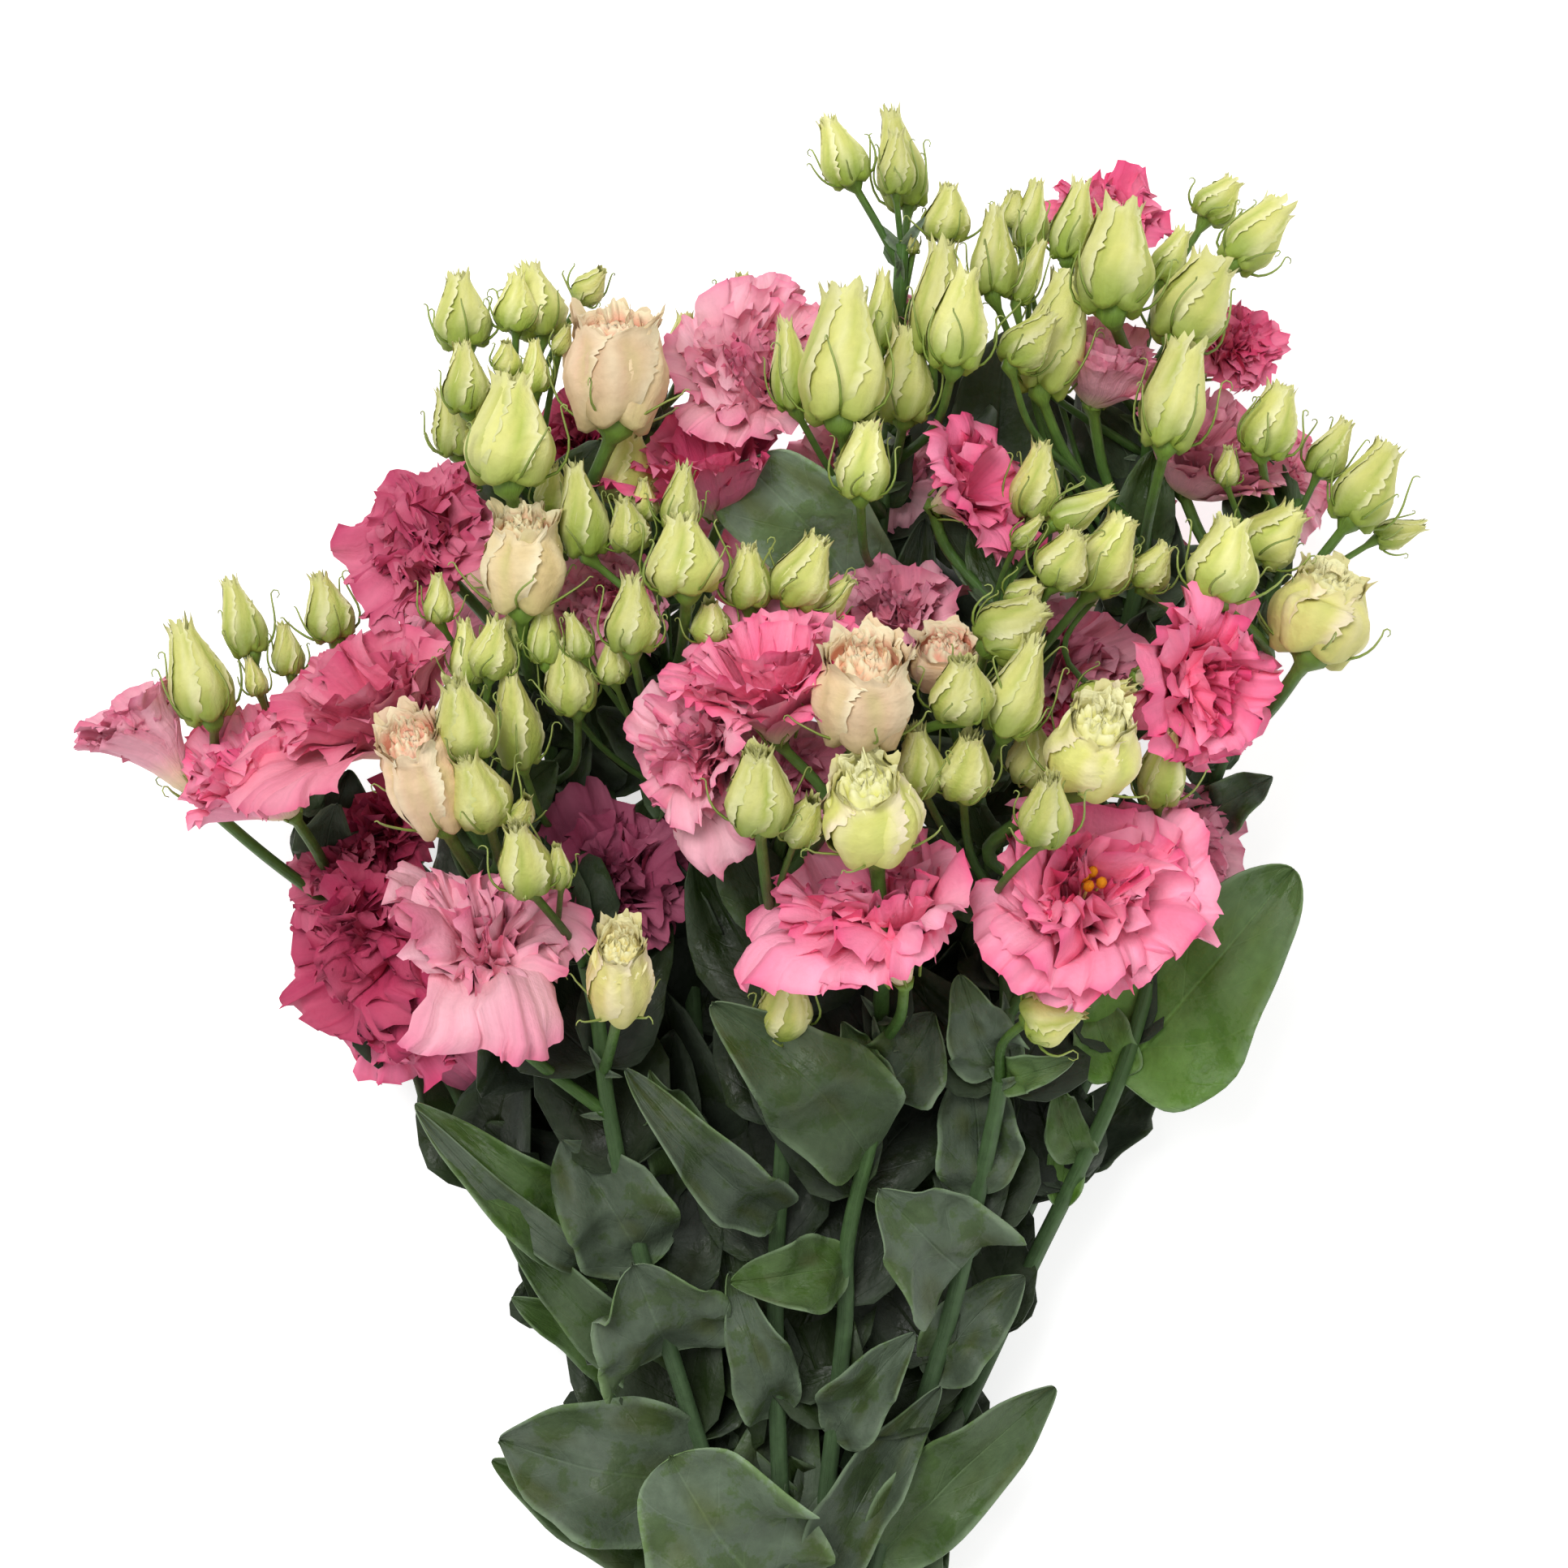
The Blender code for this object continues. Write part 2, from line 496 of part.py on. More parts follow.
def boolean(target, others, operation, solver):
    """Joins or cuts with all the others at once and applies it. The others are removed."""
    tools = bpy.data.collections.new("tools")
    bpy.context.scene.collection.children.link(tools)
    for other in others:
        tools.objects.link(other)
    modifier = target.modifiers.new("join", "BOOLEAN")
    modifier.operation = operation
    modifier.operand_type = "COLLECTION"
    modifier.collection = tools
    modifier.solver = solver
    evaluated(target)
    for other in others:
        bpy.data.objects.remove(other, do_unlink=True)
    bpy.data.collections.remove(tools)
    return target


def tidy_body(item, root):
    """Keeps the piece nearest to its root and drops loose scraps and slivers."""
    bm = bmesh.new()
    bm.from_mesh(item.data)
    bmesh.ops.remove_doubles(bm, verts=bm.verts, dist=4e-6)
    bmesh.ops.dissolve_degenerate(bm, edges=bm.edges, dist=4e-6)
    seen, islands = set(), []
    for start in bm.verts:
        if start in seen:
            continue
        seen.add(start)
        island, queue = [start], [start]
        while queue:
            for edge in queue.pop().link_edges:
                for vert in edge.verts:
                    if vert not in seen:
                        seen.add(vert)
                        island.append(vert)
                        queue.append(vert)
        islands.append(island)
    sized = [island for island in islands if len(island) > 0.25 * max(len(i) for i in islands)]
    kept = set(min(sized, key=lambda island: min((v.co - root).length for v in island)))
    bmesh.ops.delete(bm, geom=[v for v in bm.verts if v not in kept], context="VERTS")
    bmesh.ops.dissolve_limit(bm, angle_limit=FLAT_ENOUGH, verts=bm.verts, edges=bm.edges)
    bmesh.ops.triangulate(bm, faces=bm.faces)
    bm.to_mesh(item.data)
    bm.free()
    return item


def tree(item):
    return BVHTree.FromPolygons([v.co for v in item.data.vertices], [p.vertices for p in item.data.polygons])


def box(item):
    points = np.array([v.co for v in item.data.vertices])
    return points.min(0), points.max(0)


def boxes_meet(a, b):
    return bool(np.all(a[0] <= b[1]) and np.all(b[0] <= a[1]))


class Element:
    """One body before it is joined into its node."""

    def __init__(self, node, item, root):
        self.node = node
        self.item = item
        self.root = root
        self.box = box(item)
        self.hull = None

    def keep_hull(self):
        """Remembers the hull before it is trimmed, for what has to stay clear of it."""
        bm = bmesh.new()
        for vert in self.item.data.vertices:
            bm.verts.new(vert.co)
        bmesh.ops.convex_hull(bm, input=bm.verts)
        bmesh.ops.delete(bm, geom=[v for v in bm.verts if not v.link_faces], context="VERTS")
        bmesh.ops.recalc_face_normals(bm, faces=bm.faces)
        self.hull = bpy.data.meshes.new("hull")
        bm.to_mesh(self.hull)
        bm.free()

    def grown(self, by):
        """A copy that is larger all round by the given clearance."""
        copy = bpy.data.objects.new("grown", (self.hull or self.item.data).copy())
        normals = [v.normal.copy() for v in copy.data.vertices]
        for vert, normal in zip(copy.data.vertices, normals):
            vert.co += normal * by
        return copy


def clear_of(element, done, by=CLEARANCE):
    """Trims an element where it would cross another node's elements."""
    near = [other for other in done if other.node != element.node and boxes_meet(element.box, other.box)]
    own = tree(element.item)
    cutters = []
    for other in near:
        cutter = other.grown(by)
        if own.overlap(tree(cutter)):
            cutters.append(cutter)
        else:
            bpy.data.objects.remove(cutter, do_unlink=True)
    if cutters:
        boolean(element.item, cutters, "DIFFERENCE", "MANIFOLD")
        tidy_body(element.item, element.root)
        element.box = box(element.item)


def material(name, colour, roughness):
    finish = bpy.data.materials.new(name)
    finish.use_nodes = True
    shader = finish.node_tree.nodes["Principled BSDF"]
    shader.inputs["Base Color"].default_value = colour
    shader.inputs["Roughness"].default_value = roughness
    shader.inputs["Metallic"].default_value = 0
    return finish


def band():
    """The tie: a flat band stretched round all the stems, with a flat underside."""
    middle = place(TIE_U, TIE_V, 0)
    slots = [tie_slot(row, column) for row, column, _ in STEMS.values()]
    outline = bpy.data.curves.new("tie_band", "CURVE")
    outline.dimensions = "2D"
    outline.fill_mode = "BOTH"
    outline.extrude = BAND_WIDTH / 2
    for reach in (STEM_RADIUS + GAP + BAND_THICKNESS, STEM_RADIUS + GAP):
        ring = outline.splines.new("POLY")
        ring.use_cyclic_u = True
        turns = 16
        ring.points.add(turns - 1)
        for i, point in enumerate(ring.points):
            angle = math.tau * (i + 0.5) / turns
            normal = (math.cos(angle), math.sin(angle))
            slot = max(slots, key=lambda s: s[0] * normal[0] + s[1] * normal[1])
            stretch = reach / math.cos(math.pi / turns)
            point.co = (slot[0] + normal[0] * stretch, slot[1] + normal[1] * stretch, 0, 1)
    holder = bpy.data.objects.new("band_outline", outline)
    bpy.context.scene.collection.objects.link(holder)
    bpy.context.view_layer.update()
    graph = bpy.context.evaluated_depsgraph_get()
    bm = bmesh.new()
    bm.from_mesh(bpy.data.meshes.new_from_object(holder.evaluated_get(graph)))
    bpy.data.objects.remove(holder, do_unlink=True)
    bmesh.ops.remove_doubles(bm, verts=bm.verts, dist=1e-6)
    item = mesh_object("tie_band", bm)
    item.data.transform(Matrix.Translation(middle) @ Matrix.Rotation(math.pi / 2, 4, "X"))
    return item


def stem_segments(path, radii):
    """The stretches of a tube, as what other tubes keep clear of."""
    return [(np.array(a), np.array(b), radius) for a, b, radius in zip(path, path[1:], radii)]


class Head:
    """A bud, an opening bud or a bloom before it is modelled: where it stands and what carries it."""

    def __init__(self, kind, name, stem, base, tip, width):
        self.kind = kind
        self.node = "leafy_stem_" + stem if kind == "bud" else f"{kind}_{name}"
        self.stem = stem
        self.base = base
        self.tip = tip
        self.axis = (tip - base).normalized()
        self.length = (tip - base).length
        self.half = width * PIXEL / 2
        self.droop = None
        self.sides = BACK_SIDES

    def core(self):
        """A capsule in the middle of the head, which the pedicels of others bend round."""
        return np.array(self.base), np.array(self.tip), CORE_SHARE * self.half


def all_heads():
    heads = []
    for stem, buds in BUDS.items():
        for tip_u, tip_v, base_u, base_v, width, depth in buds:
            base, tip = at(base_u, base_v, depth + BUD_RISE), at(tip_u, tip_v, depth - BUD_RISE)
            heads.append(Head("bud", "", stem, base, tip, width))
    for name, stem, tip_u, tip_v, base_u, base_v, width, depth in OPENING_BUDS:
        base, tip = at(base_u, base_v, depth + BUD_RISE), at(tip_u, tip_v, depth - BUD_RISE)
        heads.append(Head("opening_bud", name, stem, base, tip, width))
    for name, stem, u, v, depth, azimuth, lean, diameter, droop_to, droop, layers in BLOOMS:
        axis = axis_vector(azimuth, lean)
        mouth = at(u, v, depth)
        head = Head("bloom", name, stem, mouth - axis * diameter * PIXEL * BLOOM_DEPTH, mouth, diameter)
        if layers == 3:
            head.sides = FRONT_SIDES
        if droop:
            local = head.axis.to_track_quat("Z", "Y").inverted() @ axis_vector(droop_to, 90)
            head.droop = (math.atan2(local.y, local.x), droop)
        heads.append(head)
    return heads


def stem_and_bud(head, path):
    """A pedicel that swells into the closed bud at its end."""
    path.pop()
    radii = [PEDICEL_RADIUS * 1.25, PEDICEL_RADIUS][:len(path)]
    for share, swell in BUD_SWELL:
        path.append(head.base + head.axis * head.length * share)
        radii.append(max(swell * head.half, PEDICEL_RADIUS) if swell else 0)
    return Element(head.node, tube("bud", path, radii, STEM_SIDES), path[0])


def stem_and_calyx(head, path):
    """A pedicel that ends in the calyx, just under the bloom that it carries."""
    end = path.pop()
    path += [end - head.axis * CALYX_LENGTH, end]
    radii = [PEDICEL_RADIUS * 1.4, PEDICEL_RADIUS * 1.2, PEDICEL_RADIUS * 1.3, CALYX_RADIUS]
    return Element("leafy_stem_" + head.stem, tube("pedicel", path, radii, STEM_SIDES), path[0])


def flower(head, rng):
    """The bloom or opening bud itself."""
    if head.kind == "opening_bud":
        body = ruffled("opening_bud", BACK_SIDES, OPENING_PROFILE, head, rng)
    else:
        profile = BLOOM_PROFILE if head.sides == FRONT_SIDES else BLOOM_PROFILE[:5]
        body = ruffled("bloom", head.sides, profile, head, rng)
    turn = head.axis.to_track_quat("Z", "Y").to_matrix().to_4x4()
    body.data.transform(Matrix.Translation(head.base) @ turn)
    return Element(head.node, body, head.base)


def layout():
    """All elements, cleared of each other, by order of what gives way to what."""
    rng = random.Random(SEED)
    axes = {name: stem_axis(name) for name in STEMS}
    heads = all_heads()
    threads, buds, pedicels, segments = [], [], [], {}
    for name, axis in axes.items():
        slim = (STEM_TOP_RADIUS - STEM_RADIUS) / (len(axis) - 1)
        radii = [STEM_RADIUS + slim * i for i in range(len(axis))]
        threads.append(Element("leafy_stem_" + name, tube("stem", axis, radii, STEM_SIDES), axis[0]))
        segments[name] = stem_segments(axis, radii)

    taken = {name: [] for name in STEMS}
    for head in sorted(heads, key=lambda h: -h.base.y):
        start, direction = pedicel_root(axes[head.stem], head.base, taken[head.stem])
        end = head.base if head.kind == "bud" else head.base - head.axis * SEAT_GAP
        others = [s for name, group in segments.items() if name != head.stem for s in group]
        others += [h.core() for h in heads if h is not head]
        steps = 1 if head.kind == "bud" and (end - start).length < SHORT_PEDICEL else 2
        path = bent_clear(arc(start, direction, end, head.axis, steps), PEDICEL_RADIUS, others)
        segments[head.stem] += stem_segments(path, [PEDICEL_RADIUS * 1.2] * len(path))
        if head.kind == "bud":
            radii = [PEDICEL_RADIUS * 1.2] * len(path)
            pedicels.append(Element(head.node, tube("pedicel", path, radii, STEM_SIDES), start))
            buds.append(stem_and_bud(head, path))
        else:
            threads.append(stem_and_calyx(head, path))
    threads += pedicels

    blooming = [head for head in heads if head.kind != "bud"]
    flowers = [flower(head, rng) for head in sorted(blooming, key=lambda h: -h.tip.z)]
    leaves = []
    for stem, group in LEAVES.items():
        for root_v, tip_u, tip_v, width, depth, cup, bend in group:
            root, _ = point_at_row(axes[stem], root_v)
            body = leaf("leaf", root, at(tip_u, tip_v, depth), width * PIXEL, cup, bend)
            leaves.append(Element("leafy_stem_" + stem, body, root))

    for bud in buds:
        clear_of(bud, threads, WIDE_CLEARANCE)
    done = [element for element in threads if element not in pedicels]
    for element in flowers + leaves:
        element.keep_hull()
    for element in buds + flowers + leaves:
        clear_of(element, done)
        done.append(element)
    for pedicel in pedicels:
        bpy.data.objects.remove(pedicel.item, do_unlink=True)
    return done


def on_the_floor(item):
    """Cuts off what would reach below the surface that the bunch lies on."""
    if min(v.co.z for v in item.data.vertices) >= 0:
        return
    bm = bmesh.new()
    bmesh.ops.create_cube(bm, size=2)
    floor = mesh_object("floor", bm)
    floor.data.transform(Matrix.Translation((0, 0, -1)))
    bpy.context.scene.collection.objects.unlink(floor)
    boolean(item, [floor], "DIFFERENCE", "MANIFOLD")


def main():
    clear_scene()
    bunch = bpy.data.collections.new("lisianthus_bunch")
    bpy.context.scene.collection.children.link(bunch)
    nodes = {}
    for element in layout():
        nodes.setdefault(element.node, []).append(element)
    finishes = {"leafy_stem": (LEAF_GREEN, 0.5), "opening_bud": (CREAM, 0.55), "bloom": (PINK, 0.6)}
    made = [band()]
    made[0].data.materials.append(material("tie_band", BAND_COLOUR, 0.8))
    for node, elements in nodes.items():
        body = elements[0].item
        others = [element.item for element in elements[1:]]
        for other in others:
            bpy.context.scene.collection.objects.unlink(other)
        if others:
            boolean(body, others, "UNION", "MANIFOLD")
        on_the_floor(body)
        tidy_body(body, elements[0].root)
        body.name = node
        body.data.materials.clear()
        colour, roughness = next(finish for kind, finish in finishes.items() if node.startswith(kind))
        body.data.materials.append(material(node, colour, roughness))
        made.append(body)
    boxes = [box(item) for item in made]
    low = np.min([b[0] for b in boxes], axis=0)
    high = np.max([b[1] for b in boxes], axis=0)
    for item in made:
        item.data.transform(Matrix.Translation((-(low[0] + high[0]) / 2, -(low[1] + high[1]) / 2, 0)))
        bpy.context.scene.collection.objects.unlink(item)
        bunch.objects.link(item)


main()
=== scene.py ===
import math
import random

import bpy
import numpy as np
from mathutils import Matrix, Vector


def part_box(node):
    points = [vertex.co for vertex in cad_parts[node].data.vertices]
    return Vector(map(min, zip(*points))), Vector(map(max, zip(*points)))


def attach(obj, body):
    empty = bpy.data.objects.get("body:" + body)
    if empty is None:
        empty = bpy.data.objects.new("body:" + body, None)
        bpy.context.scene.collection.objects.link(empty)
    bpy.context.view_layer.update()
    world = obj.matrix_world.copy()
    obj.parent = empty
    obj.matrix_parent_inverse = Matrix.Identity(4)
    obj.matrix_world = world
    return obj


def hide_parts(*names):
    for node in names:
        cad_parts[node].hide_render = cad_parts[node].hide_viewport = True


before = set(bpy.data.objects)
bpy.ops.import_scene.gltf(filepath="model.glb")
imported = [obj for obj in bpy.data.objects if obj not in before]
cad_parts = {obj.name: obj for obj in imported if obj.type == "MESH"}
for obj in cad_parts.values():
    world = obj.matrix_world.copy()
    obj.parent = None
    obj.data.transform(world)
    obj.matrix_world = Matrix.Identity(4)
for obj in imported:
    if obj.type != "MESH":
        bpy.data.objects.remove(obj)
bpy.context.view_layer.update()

MM = 0.001

# Scale of the layout: pixels of the view from above, and how high it is seen from
PIXEL = 0.21 * MM
PICTURE = 1932
MIDDLE = 966
VIEW_HEIGHT = 2.5
REFERENCE_HEIGHT = 0.11
SENSOR = 36

# Upper surface of the bunch: v, height in mm at the middle, half width in pixels
SPINE = (
    (100, 92, 700),
    (450, 128, 820),
    (850, 150, 860),
    (1200, 135, 760),
    (1550, 88, 400),
    (1932, 52, 330),
    (2230, 20, 300),
)
MIDDLE_U = 955
EDGE_DROP = 0.42

# Stems and pedicels
STEM_RADIUS = 2.7 * MM
STEM_TOP_RADIUS = 1.9 * MM
PEDICEL_RADIUS = 1.3 * MM
CALYX_RADIUS = 3.2 * MM
STEM_PITCH = 5.9 * MM
BAND_THICKNESS = 1.4 * MM
BAND_WIDTH = 7 * MM
GAP = 0.3 * MM

# Pedicels: how far they keep off the others, the share of a head's width that they keep off, and how far
# they may bow in mm. Their roots: rows below what they carry, rows more for each pixel that they reach
# sideways, least step to the next root, the shift that looks for one, and rows under the stem's top
PEDICEL_APART = 1.1 * MM
CORE_SHARE = 0.6
BOWS = (0, 4, 8, 12, 17, 23, 30)
ROOT_BELOW = 60
ROOT_SPREAD = 0.7
ROOT_STEP = 18
ROOT_SHIFT = 2
ROOT_UNDER_TOP = 4
ARC_REACH = 0.36
DRAWN_IN = 0.02
TIE_U, TIE_V = 985, 2230
CUT_END_V = 2900
TAIL_SPLAY = 1.25
BUD_RISE = 4
BLOOM_DEPTH = 0.5
SHORT_PEDICEL = 24 * MM
SEED = 11

# Stems by name: row and column in the tie, then the route upwards as u, v, depth in mm
STEMS = {
    "far_left": (0, -2.5, [
        (895, 1932, 42), (700, 1640, 46), (545, 1320, 60), (440, 1150, 66), (365, 1000, 58),
        (335, 930, 48)]),
    "left_low": (0, -1.5, [(925, 1932, 42), (770, 1600, 60), (650, 1400, 76), (565, 1270, 86)]),
    "upper_left": (0, -0.5, [
        (950, 1932, 42), (880, 1560, 72), (800, 1200, 92), (730, 900, 84), (690, 700, 60), (655, 580, 38),
        (632, 470, 26)]),
    "top": (0, 0.5, [
        (1000, 1932, 42), (1020, 1560, 74), (1040, 1200, 100), (1060, 900, 90), (1080, 700, 60),
        (1100, 480, 38), (1112, 300, 16)]),
    "upper_right": (0, 1.5, [
        (1035, 1932, 42), (1130, 1560, 72), (1250, 1200, 92), (1350, 900, 80), (1405, 700, 56),
        (1412, 560, 54), (1400, 460, 48)]),
    "far_right": (0, 2.5, [
        (1070, 1932, 42), (1215, 1600, 58), (1350, 1300, 70), (1460, 1050, 56), (1535, 850, 40),
        (1575, 700, 26), (1600, 610, 24)]),
    "left": (1, -2, [
        (900, 1932, 30), (814, 1667, 30), (710, 1400, 44), (625, 1180, 52), (596, 1010, 38),
        (588, 950, 30)]),
    "upper_left_low": (1, -1, [
        (935, 1932, 30), (850, 1600, 46), (765, 1300, 74), (700, 1050, 84), (668, 860, 58),
        (645, 790, 38)]),
    "centre_left": (1, 0, [
        (965, 1932, 30), (910, 1719, 36), (870, 1520, 46), (855, 1250, 70), (835, 980, 72), (812, 720, 54),
        (800, 560, 50), (815, 480, 42)]),
    "mid_right": (1, 1, [
        (1025, 1932, 30), (1085, 1600, 46), (1145, 1300, 66), (1190, 1050, 60), (1215, 850, 42),
        (1250, 700, 26)]),
    "right": (1, 2, [
        (1085, 1932, 28), (1190, 1730, 26), (1272, 1556, 24), (1375, 1340, 26), (1430, 1150, 42),
        (1440, 1070, 46)]),
    "left_front": (2, -1.5, [
        (905, 1932, 16), (792, 1554, 14), (751, 1373, 17), (735, 1250, 24), (705, 1130, 28)]),
    "centre": (2, -0.5, [
        (965, 1932, 16), (955, 1600, 18), (970, 1300, 28), (955, 1120, 36), (965, 1020, 48)]),
    "front_centre": (2, 0.5, [
        (1010, 1932, 16), (1040, 1640, 15), (1045, 1524, 15), (1083, 1355, 20), (1085, 1250, 34)]),
    "front_right": (2, 1.5, [
        (1075, 1932, 16), (1165, 1640, 16), (1205, 1470, 15), (1233, 1330, 18), (1240, 1200, 40),
        (1215, 1030, 46), (1192, 930, 32)]),
}

# Buds by stem: tip u, v, base u, v, width in pixels, depth in mm
BUDS = {
    "far_left": [(219, 767, 263, 890, 76, 4), (281, 712, 312, 808, 54, 10), (391, 707, 415, 790, 60, 14)],
    "left": [(556, 837, 585, 930, 75, -6), (571, 930, 603, 1015, 75, -8), (612, 761, 603, 834, 55, 6)],
    "left_front": [(634, 1015, 654, 1098, 65, -22)],
    "upper_left_low": [(625, 823, 643, 944, 60, 14), (687, 787, 712, 878, 62, 16)],
    "upper_left": [
        (563, 338, 575, 430, 70, 12), (636, 337, 636, 410, 55, 12), (650, 326, 670, 418, 70, 20),
        (569, 421, 578, 510, 58, 4), (546, 480, 563, 562, 50, 22), (630, 461, 627, 600, 110, -8)],
    "centre_left": [
        (679, 571, 682, 630, 45, 16), (706, 571, 725, 687, 62, 8), (766, 614, 780, 678, 52, 10),
        (843, 571, 835, 653, 48, 4), (838, 635, 847, 733, 90, -6), (779, 710, 779, 805, 64, -4),
        (774, 530, 774, 620, 78, 30), (915, 337, 905, 392, 45, 40)],
    "centre": [
        (921, 672, 924, 748, 60, 6), (1009, 661, 975, 747, 72, 4), (933, 922, 936, 1020, 82, -22),
        (1003, 983, 980, 1034, 50, -16), (967, 1200, 967, 1270, 65, 12), (874, 740, 878, 790, 50, 8)],
    "front_right": [
        (1335, 1240, 1266, 1257, 76, -2), (1293, 956, 1286, 1036, 65, -26), (1271, 890, 1271, 960, 60, 8),
        (1197, 904, 1186, 980, 65, -6), (1128, 895, 1137, 974, 60, -4), (1186, 811, 1183, 884, 78, -12),
        (1275, 785, 1236, 907, 70, -8)],
    "right": [(1440, 893, 1427, 988, 60, 2), (1397, 844, 1326, 872, 50, 4)],
    "far_right": [
        (1661, 517, 1622, 588, 50, 8), (1713, 548, 1660, 646, 75, 2), (1756, 646, 1695, 665, 36, 8),
        (1597, 627, 1545, 690, 75, 14), (1519, 639, 1498, 740, 88, -12), (1579, 474, 1554, 563, 68, 2),
        (1437, 670, 1406, 725, 50, 10)],
    "upper_right": [
        (1462, 419, 1435, 554, 78, -8), (1496, 321, 1447, 425, 90, 4), (1459, 282, 1429, 349, 45, 14),
        (1521, 220, 1484, 272, 55, 20), (1579, 251, 1518, 327, 65, 12), (1379, 253, 1370, 388, 95, -4),
        (1333, 222, 1315, 323, 55, 6), (1296, 385, 1244, 452, 60, 2), (1226, 256, 1223, 366, 58, 4),
        (1321, 339, 1281, 486, 80, 16)],
    "top": [
        (1018, 146, 1053, 229, 58, 2), (1104, 161, 1104, 242, 45, 0), (1096, 134, 1119, 259, 60, 12),
        (1169, 227, 1165, 299, 58, 10), (1162, 299, 1150, 440, 65, 6), (1189, 333, 1174, 458, 72, -6),
        (1116, 403, 1113, 522, 72, 14), (1041, 354, 1035, 524, 105, -14), (966, 394, 981, 507, 52, 4),
        (1070, 519, 1060, 615, 66, -10)],
    "mid_right": [
        (1284, 545, 1270, 640, 60, 14), (1327, 655, 1296, 722, 65, -4), (1385, 636, 1342, 731, 70, 8),
        (1284, 743, 1215, 800, 80, -4)],
}

# The smallest buds, which the solids leave out, in the same form
SMALL_BUDS = {
    "far_left": [(348, 767, 359, 832, 40, 18), (305, 810, 321, 857, 28, 14)],
    "left": [
        (571, 763, 580, 845, 45, 10), (629, 743, 638, 801, 30, 12), (650, 981, 640, 1015, 30, -6),
        (685, 1040, 692, 1091, 30, -16)],
    "upper_left_low": [(538, 707, 542, 767, 38, 6), (635, 750, 638, 790, 28, 12)],
    "upper_left": [
        (743, 331, 715, 370, 40, 30), (658, 418, 661, 485, 36, 10), (624, 420, 624, 460, 35, 8),
        (700, 400, 688, 436, 25, 8)],
    "centre_left": [
        (669, 731, 672, 820, 42, 10), (701, 756, 721, 811, 35, 8), (752, 790, 757, 840, 40, 10),
        (792, 590, 795, 640, 35, 16), (844, 385, 844, 450, 50, 40)],
    "centre": [(1049, 713, 1009, 759, 38, 10)],
    "far_right": [(1514, 551, 1511, 597, 32, 4), (1400, 690, 1365, 715, 40, 12)],
    "upper_right": [
        (1277, 222, 1266, 311, 45, 14), (1284, 296, 1251, 375, 35, 8), (1249, 235, 1249, 280, 40, 16)],
    "top": [(1088, 334, 1085, 434, 42, 14), (1125, 290, 1125, 310, 16, 14)],
    "mid_right": [
        (1372, 603, 1296, 649, 45, 0), (1284, 716, 1247, 747, 45, 2), (1284, 636, 1250, 673, 25, 4)],
}

# Opening buds: name, stem, tip u, v, base u, v, width in pixels, depth in mm, how far from lime to peach
OPENING_BUDS = (
    ("upper_left", "upper_left", 762, 369, 757, 530, 122, 2, 0.95),
    ("mid_left", "upper_left_low", 647, 620, 643, 755, 100, 0, 0.65),
    ("left", "left", 495, 885, 548, 1020, 92, -6, 1.0),
    ("lower_left", "left_front", 766, 1145, 762, 1249, 80, -12, 0.22),
    ("centre", "centre", 1067, 780, 1061, 918, 118, -16, 0.85),
    ("front", "front_centre", 1065, 936, 1079, 1052, 118, -22, 0.0),
    ("right", "right", 1366, 863, 1333, 970, 112, -12, 0.05),
    ("far_right", "far_right", 1651, 688, 1610, 812, 125, 4, 0.15),
    ("mid_right", "mid_right", 1167, 775, 1165, 850, 90, 18, 1.0),
)

